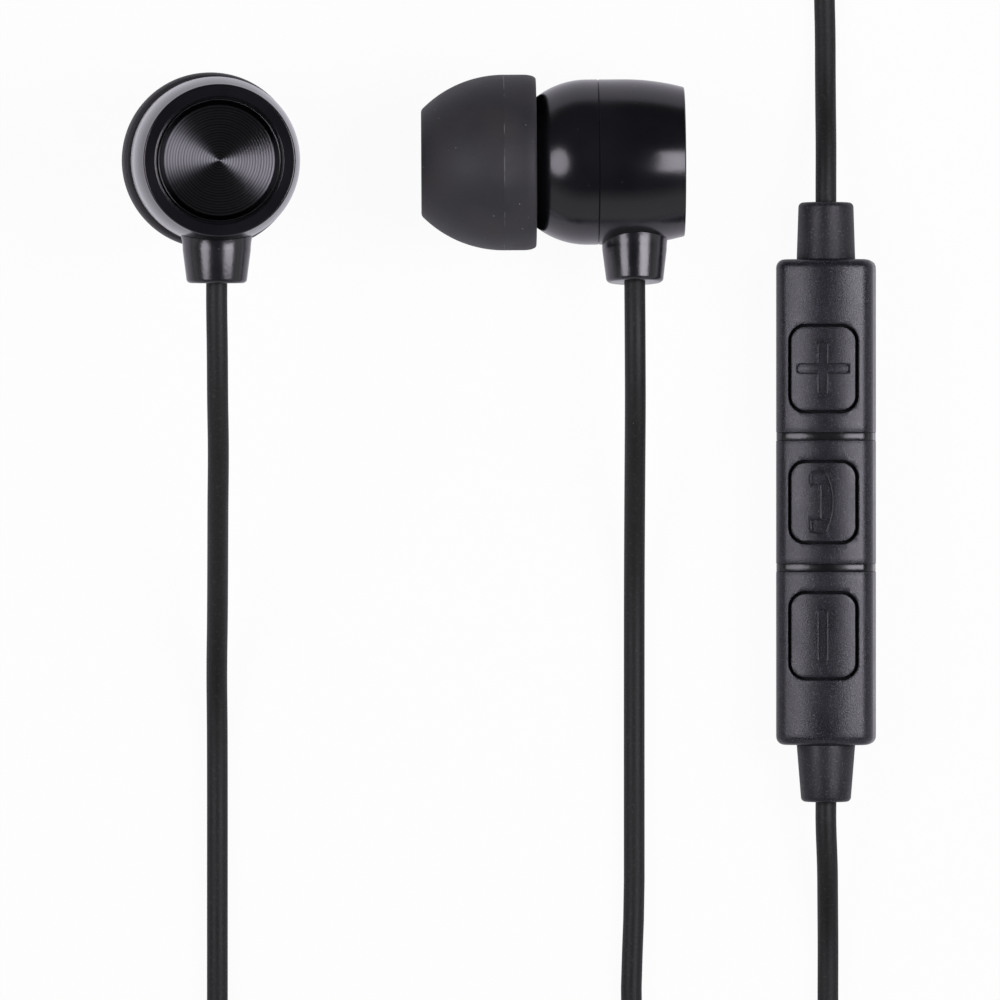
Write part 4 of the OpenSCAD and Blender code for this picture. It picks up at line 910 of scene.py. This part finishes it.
effects = {"grain": fineGrain(), "dust": dustSpecks(), "lines": turnedLines(), "seam": brokenSeam()}
print("shared effects ready")

# finishes: two shades, then roughness from and to; sizes in millimetres
plain = {"grain": 0.3, "cloud": 2, "depth": 0.004, "sparkle": 0, "dust": 0.1, "speck": 0.03, "gloss": 0.5}


def shaded(darker, lighter, rough, **rest):
    return {**plain, "shades": [darker, lighter], "rough": rough, **rest}


finishes = {
    "shellGloss": shaded(
        (0.0055, 0.0052, 0.007), (0.008, 0.0076, 0.0098), (0.16, 0.22), cloud=5, depth=0.0012,
        dust=0.22, speck=0.035,
    ),
    "bootGloss": shaded(
        (0.006, 0.0057, 0.0075), (0.009, 0.0086, 0.0108), (0.2, 0.26), grain=0.25, depth=0.0025,
        sparkle=0.1, dust=0.15, gloss=0.7,
    ),
    "remoteMatte": shaded(
        (0.01, 0.0098, 0.013), (0.015, 0.0148, 0.019), (0.26, 0.32), grain=0.075, cloud=3, depth=0.007,
        sparkle=1, dust=0.12, gloss=0.4,
    ),
    "keyMatte": shaded(
        (0.012, 0.0118, 0.015), (0.016, 0.0158, 0.02), (0.27, 0.33), grain=0.075, depth=0.006,
        sparkle=0.8, gloss=0.4,
    ),
    "bandGloss": shaded(
        (0.006, 0.006, 0.007), (0.008, 0.008, 0.009), (0.2, 0.26), cloud=1.5, depth=0.003, speck=0.02,
    ),
    "remoteBoot": shaded(
        (0.011, 0.0107, 0.0137), (0.015, 0.0147, 0.018), (0.42, 0.5), grain=0.14, depth=0.006,
        sparkle=0.5, dust=0.15, gloss=0.35,
    ),
    "cordSkin": shaded(
        (0.0075, 0.0078, 0.0075), (0.011, 0.0114, 0.011), (0.5, 0.58), grain=0.2, cloud=5, sparkle=0.2,
        speck=0.025, gloss=0.3,
    ),
    "silicone": shaded(
        (0.022, 0.022, 0.0268), (0.032, 0.0294, 0.0318), (0.56, 0.66), cloud=4, sparkle=0.015, dust=0.6,
        speck=0.045, gloss=0.4, seam=tip["domeLength"] - tip["reach"], seamHalf=0.035,
        seamShade=(0.1, 0.1, 0.105),
    ),
    "driverPlastic": shaded(
        (0.03, 0.03, 0.033), (0.045, 0.045, 0.05), (0.45, 0.55), grain=0.2, cloud=3,
    ),
    "insulator": shaded(
        (0.012, 0.012, 0.012), (0.016, 0.016, 0.016), (0.3, 0.36), grain=0.2, depth=0.002, speck=0.02,
    ),
    "tieFilm": shaded(
        (0.014, 0.014, 0.015), (0.02, 0.02, 0.021), (0.4, 0.5), cloud=4, sparkle=0.1, dust=0.2,
        speck=0.04,
    ),
    "boardLaminate": shaded((0.02, 0.12, 0.045), (0.03, 0.17, 0.07), (0.3, 0.4)),
    "speakerFilm": shaded(
        (0.6, 0.53, 0.36), (0.72, 0.65, 0.48), (0.2, 0.3), depth=0.002, dust=0.05, speck=0.02,
    ),
}
metals = {
    "satinSteel": shaded((0.5, 0.51, 0.53), (0.62, 0.63, 0.65), (0.24, 0.36), line=0.05),
    "nickel": shaded((0.42, 0.42, 0.43), (0.52, 0.52, 0.53), (0.14, 0.24), line=0.08),
    "copperWire": shaded((0.62, 0.27, 0.13), (0.78, 0.4, 0.22), (0.25, 0.35), line=0.06),
    "satinBrass": shaded((0.62, 0.47, 0.2), (0.75, 0.58, 0.28), (0.26, 0.36), line=0.06),
    "goldPlate": shaded((0.83, 0.62, 0.27), (0.93, 0.74, 0.38), (0.1, 0.18), line=0.06),
    "wovenWire": shaded((0.32, 0.32, 0.33), (0.45, 0.45, 0.46), (0.3, 0.4), line=0.05),
}
dustColour = (0.16, 0.155, 0.15)
# how much lighter than the lighter shade the painted glint flecks are
paintedGlintLight = 7


def startMaterial(name, place):
    # the shader, and millimetres in the piece's own frame
    material = bpy.data.materials.new(name)
    material.use_nodes = True
    tree = material.node_tree
    inputs = {
        "Vector": add(tree, "TexCoord", {}).outputs["Object"],
        "Location": (Matrix.Scale(mm, 4) @ place).translation,
        "Rotation": place.to_euler(),
        "Scale": (mm, mm, mm),
    }
    local = add(tree, "Mapping", inputs, vector_type="TEXTURE").outputs["Vector"]
    return material, tree, tree.nodes["Principled BSDF"], local


def useEffect(tree, name, vector, **values):
    node = tree.nodes.new("ShaderNodeGroup")
    node.node_tree = effects[name]
    return fed(tree, node, {"Vector": vector, **values}).outputs


def mixed(tree, factor, first, second):
    inputs = {0: factor}
    for socket, source in ((6, first), (7, second)):
        inputs[socket] = source if isinstance(source, bpy.types.NodeSocket) else (*source, 1)
    return add(tree, "Mix", inputs, data_type="RGBA").outputs[2]


def bumped(tree, height, depth):
    return add(tree, "Bump", {"Height": height, "Strength": 1, "Distance": depth * mm}).outputs["Normal"]


def moulded(kind, name, place):
    finish = finishes[kind]
    material, tree, shader, vector = startMaterial(name, place)
    grain = useEffect(tree, "grain", vector, Grain=finish["grain"], Cloud=finish["cloud"])
    dust = useEffect(tree, "dust", vector, Spacing=0.8, Size=finish["speck"], Share=finish["dust"])["Mask"]
    colour = mixed(tree, grain["Shade"], *finish["shades"])
    # painted glints: the brightest grains get a much lighter colour, standing in for glints off the grained
    # surface
    paintedGlintFlecks = calculated(tree, "MULTIPLY", grain["PaintedGlints"], finish["sparkle"])
    colour = mixed(tree, paintedGlintFlecks, colour, [paintedGlintLight * part for part in finish["shades"][1]])
    colour = mixed(tree, dust, colour, dustColour)
    if "seam" in finish:
        seam = useEffect(tree, "seam", vector, Level=finish["seam"], Width=finish["seamHalf"])["Mask"]
        colour = mixed(tree, seam, colour, finish["seamShade"])
    inputs = {
        "Base Color": colour,
        "Roughness": ranged(tree, grain["Shade"], 0, 1, *finish["rough"]),
        "Normal": bumped(tree, grain["Height"], finish["depth"]),
        "Specular IOR Level": finish["gloss"],
        "Specular Tint": (0.97, 0.95, 1, 1),
    }
    fed(tree, shader, inputs)
    return material


def turnedMetal(kind, name, place):
    finish = metals[kind]
    material, tree, shader, vector = startMaterial(name, place)
    grain = useEffect(tree, "grain", vector, Grain=0.15, Cloud=2)
    lines = useEffect(tree, "lines", vector, Spacing=finish["line"])["Height"]
    inputs = {
        "Base Color": mixed(tree, grain["Shade"], *finish["shades"]),
        "Roughness": ranged(tree, lines, 0.3, 0.7, *finish["rough"]),
        "Normal": bumped(tree, lines, 0.0015),
        "Metallic": 1,
    }
    fed(tree, shader, inputs)
    return material


# spun aluminium: the highlight spreads across its grooves, which run slightly askew
# ridge and valley colours are a painted highlight and painted shade on the grooves; rim is painted shade,
# edge a painted highlight on the rim's outer edge
spun = {
    "ridge": (0.124, 0.12, 0.134), "paintedShadeValley": (0.042, 0.041, 0.047), "rim": (0.006, 0.0058, 0.0068),
    "edge": (0.2, 0.195, 0.21), "paintedHighlightFrom": 4.22, "paintedHighlightTo": 4.25, "rough": (0.28, 0.34), "lines": 9,
    "unevenness": 0.7, "anisotropy": 1, "skew": 0.03,
}


def spunMetal(name, place):
    material, tree, shader, vector = startMaterial(name, place)
    rounds = add(tree, "UVMap", {}, uv_map="rounds").outputs["UV"]
    radius = add(tree, "SeparateXYZ", {"Vector": rounds}).outputs["X"]
    noise = {"W": radius, "Scale": spun["lines"], "Detail": 4}
    lines = add(tree, "TexNoise", noise, noise_dimensions="1D").outputs["Fac"]
    # groove by groove: painted shade in the valleys and a painted highlight on the ridges, varied by noise;
    # then painted shade over the rim and a painted highlight along its outer edge
    half, face = disc["face"] / disc["grooves"] / 2, disc["face"]
    rise = ranged(tree, calculated(tree, "PINGPONG", radius, half), 0, half, 0, 1)
    shade = calculated(tree, "MULTIPLY_ADD", lines, spun["unevenness"], rise)
    colour = mixed(tree, ranged(tree, shade, 0.25, 1.25, 0, 1), spun["paintedShadeValley"], spun["ridge"])
    paintedShadeOnRim = ranged(tree, radius, face, face + disc["chamfer"], 0, 1)
    colour = mixed(tree, paintedShadeOnRim, colour, spun["rim"])
    paintedHighlightOnEdge = ranged(tree, radius, spun["paintedHighlightFrom"], spun["paintedHighlightTo"], 0, 1)
    colour = mixed(tree, paintedHighlightOnEdge, colour, spun["edge"])
    dust = useEffect(tree, "dust", vector, Spacing=0.9, Size=0.035, Share=0.2)["Mask"]
    inputs = {
        "Base Color": mixed(tree, dust, colour, dustColour),
        "Roughness": ranged(tree, lines, 0.35, 0.65, *spun["rough"]),
        "Metallic": 1,
        "Anisotropic": spun["anisotropy"],
        "Anisotropic Rotation": spun["skew"],
        "Tangent": add(tree, "Tangent", {}, direction_type="UV_MAP", uv_map="rounds").outputs["Tangent"],
    }
    fed(tree, shader, inputs)
    return material


made = {}


def look(kind, where="table"):
    # one material for each finish and place
    key = kind + where.capitalize()
    if key not in made:
        place = placeOf.get(where, Matrix.Identity(4))
        maker = moulded if kind in finishes else turnedMetal
        made[key] = spunMetal(key, place) if kind == "spunMetal" else maker(kind, key, place)
    return made[key]


def dress(piece, kind, where="table"):
    piece.data.materials.clear()
    piece.data.materials.append(look(kind, where))


def dressNode(node, kind, where="table"):
    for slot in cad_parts[node].material_slots:
        slot.material = look(kind, where)


for side in ("left", "right"):
    for part, kind in (
        ("FrontShell", "shellGloss"), ("RearShell", "shellGloss"), ("CapDisc", "spunMetal"),
        ("StrainRelief", "bootGloss"), ("EarTip", "silicone"), ("NozzleMesh", "wovenWire"),
    ):
        dress(pieces[side + part], kind, side)
    for node, kind in (
        ("cord_tail", "cordSkin"), ("lead_wires", "copperWire"), ("driver_frame", "driverPlastic"),
        ("driver_yoke", "satinSteel"), ("driver_magnet", "nickel"), ("driver_top_plate", "satinSteel"),
        ("voice_coil", "copperWire"), ("diaphragm", "speakerFilm"), ("driver_cover", "satinBrass"),
        ("terminal_board", "boardLaminate"),
    ):
        dressNode(side + "_" + node, kind, side)
for name, kind in (
    ("remoteFrontShell", "remoteMatte"), ("remoteBackShell", "remoteMatte"), ("plusButton", "keyMatte"),
    ("callButton", "keyMatte"), ("minusButton", "keyMatte"), ("dividerBands", "bandGloss"),
    ("remoteUpperBoot", "remoteBoot"), ("remoteLowerBoot", "remoteBoot"),
):
    dress(pieces[name], kind, "remote")
for node, kind in (
    ("remote_circuit_board", "boardLaminate"), ("remote_dome_switches", "satinSteel"),
    ("remote_microphone", "nickel"), ("remote_microphone_seal", "insulator"),
    ("remote_cord_tails", "cordSkin"),
):
    dressNode(node, kind, "remote")
dress(pieces["splitterBody"], "remoteMatte", "splitter")
dressNode("splitter_clamp", "satinBrass", "splitter")
dress(pieces["plugRelief"], "bootGloss", "plug")
dress(pieces["plugGrip"], "bootGloss", "plug")
for part in ("sleeve", "rings", "tip"):
    dressNode("plug_" + part, "goldPlate", "plug")
dressNode("plug_insulators", "insulator", "plug")
dress(pieces["cordTies"], "tieFilm")
for cord in (leftCord, rightCord, remoteCord, mainCord):
    dress(cord, "cordSkin")
print("materials ready:", len(made))

# white table, softboxes and a dim tent
# the mirrored floor's painted falloff of light and painted contact shadow are set here too
studio = {
    "floorSize": 4, "floorDrop": 0.0001, "floorWhite": 0.95, "nearFloor": 0.03, "farFloor": 0.17,
    "paintedFarLevel": 0.2, "contact": 0.25, "contactReach": 0.012, "distance": 0.25, "tentTop": 0.043,
    "tentSide": 0.6, "tentFrom": 0.12, "tentTo": 0.46, "tentLean": 22, "tint": (0.97, 0.95, 1),
}
# angles of each box's middle from straight up, and its half sizes
softboxes = {
    "rightBox": {"angle": 37, "rise": 3, "spread": 16, "tall": 13, "light": 8, "shape": "RECTANGLE"},
    "leftBox": {"angle": -38, "rise": 3, "spread": 14, "tall": 17, "light": 4.6, "shape": "ELLIPSE"},
}


def softbox(name, box):
    distance = studio["distance"]
    place = turn(-box["rise"], "X") @ turn(box["angle"], "Y") @ shift(0, 0, distance)
    pick()
    bpy.ops.object.light_add(type="AREA")
    lamp = bpy.context.object
    lamp.name = name
    lamp.matrix_world = place
    lamp.data.color = studio["tint"]
    lamp.data.shape = box["shape"]
    lamp.data.size = 2 * distance * tan(radians(box["spread"]))
    lamp.data.size_y = 2 * distance * tan(radians(box["tall"]))
    lamp.data.energy = box["light"] * pi * lamp.data.size * lamp.data.size_y


for name, box in softboxes.items():
    softbox(name, box)


def seenDirectly(tree):
    # camera, mirror and glass rays
    path = add(tree, "LightPath", {}).outputs
    seen = calculated(tree, "MAXIMUM", path["Is Camera Ray"], path["Is Glossy Ray"])
    return calculated(tree, "MAXIMUM", seen, path["Is Transmission Ray"])


tableWhite = bpy.data.materials.new("whiteTable")
tableWhite.use_nodes = True
tree = tableWhite.node_tree
tree.nodes.remove(tree.nodes["Principled BSDF"])
diffuse = add(tree, "BsdfDiffuse", {"Color": (0.8, 0.8, 0.8, 1)}).outputs[0]
path = add(tree, "LightPath", {}).outputs
toned = mixed(tree, path["Is Camera Ray"], (0.93, 0.9, 1), (1, 1, 1))
white = add(tree, "Emission", {"Color": toned, "Strength": 1}).outputs[0]
# mirrored, it carries painted shade: a painted contact shadow close under the object, by ray length, and a
# painted falloff of light far away from it
spot = add(tree, "TexCoord", {}).outputs["Object"]
away = add(tree, "VectorMath", {0: spot}, operation="LENGTH").outputs["Value"]
paintedFloorShade = ranged(tree, away, studio["nearFloor"], studio["farFloor"], 1, studio["paintedFarLevel"])
clear = ranged(tree, path["Ray Length"], 0, studio["contactReach"], studio["contact"], 1)
paintedFloorShade = calculated(tree, "MULTIPLY", paintedFloorShade, clear)
paintedFloorShade = calculated(tree, "MAXIMUM", paintedFloorShade, path["Is Camera Ray"])
paintedFloorShade = calculated(tree, "MULTIPLY", paintedFloorShade, studio["floorWhite"])
share = calculated(tree, "MULTIPLY", seenDirectly(tree), paintedFloorShade)
surface = add(tree, "MixShader", {0: share, 1: diffuse, 2: white}).outputs[0]
fed(tree, tree.nodes["Material Output"], {"Surface": surface})

pick()
bpy.ops.mesh.primitive_plane_add(size=studio["floorSize"], location=(0, 0, -studio["floorDrop"]))
floor = bpy.context.object
floor.name = "floor"
floor.data.materials.append(tableWhite)

world = bpy.data.worlds.new("tent")
bpy.context.scene.world = world
world.use_nodes = True
tree = world.node_tree
# the tent's dark top lies behind the object, so its white side reaches higher in front
heading = add(tree, "TexCoord", {}).outputs["Generated"]
lean = radians(studio["tentLean"])
leaning = {0: heading, 1: (0, sin(lean), cos(lean))}
upward = add(tree, "VectorMath", leaning, operation="DOT_PRODUCT").outputs["Value"]
tent = ranged(tree, upward, studio["tentFrom"], studio["tentTo"], studio["tentSide"], studio["tentTop"])
cameraRay = add(tree, "LightPath", {}).outputs["Is Camera Ray"]
strength = calculated(tree, "MAXIMUM", tent, cameraRay)
fed(tree, tree.nodes["Background"], {"Strength": strength, "Color": (1, 1, 1, 1)})
print("light and floor ready")

bpy.context.scene.view_settings.view_transform = "Standard"
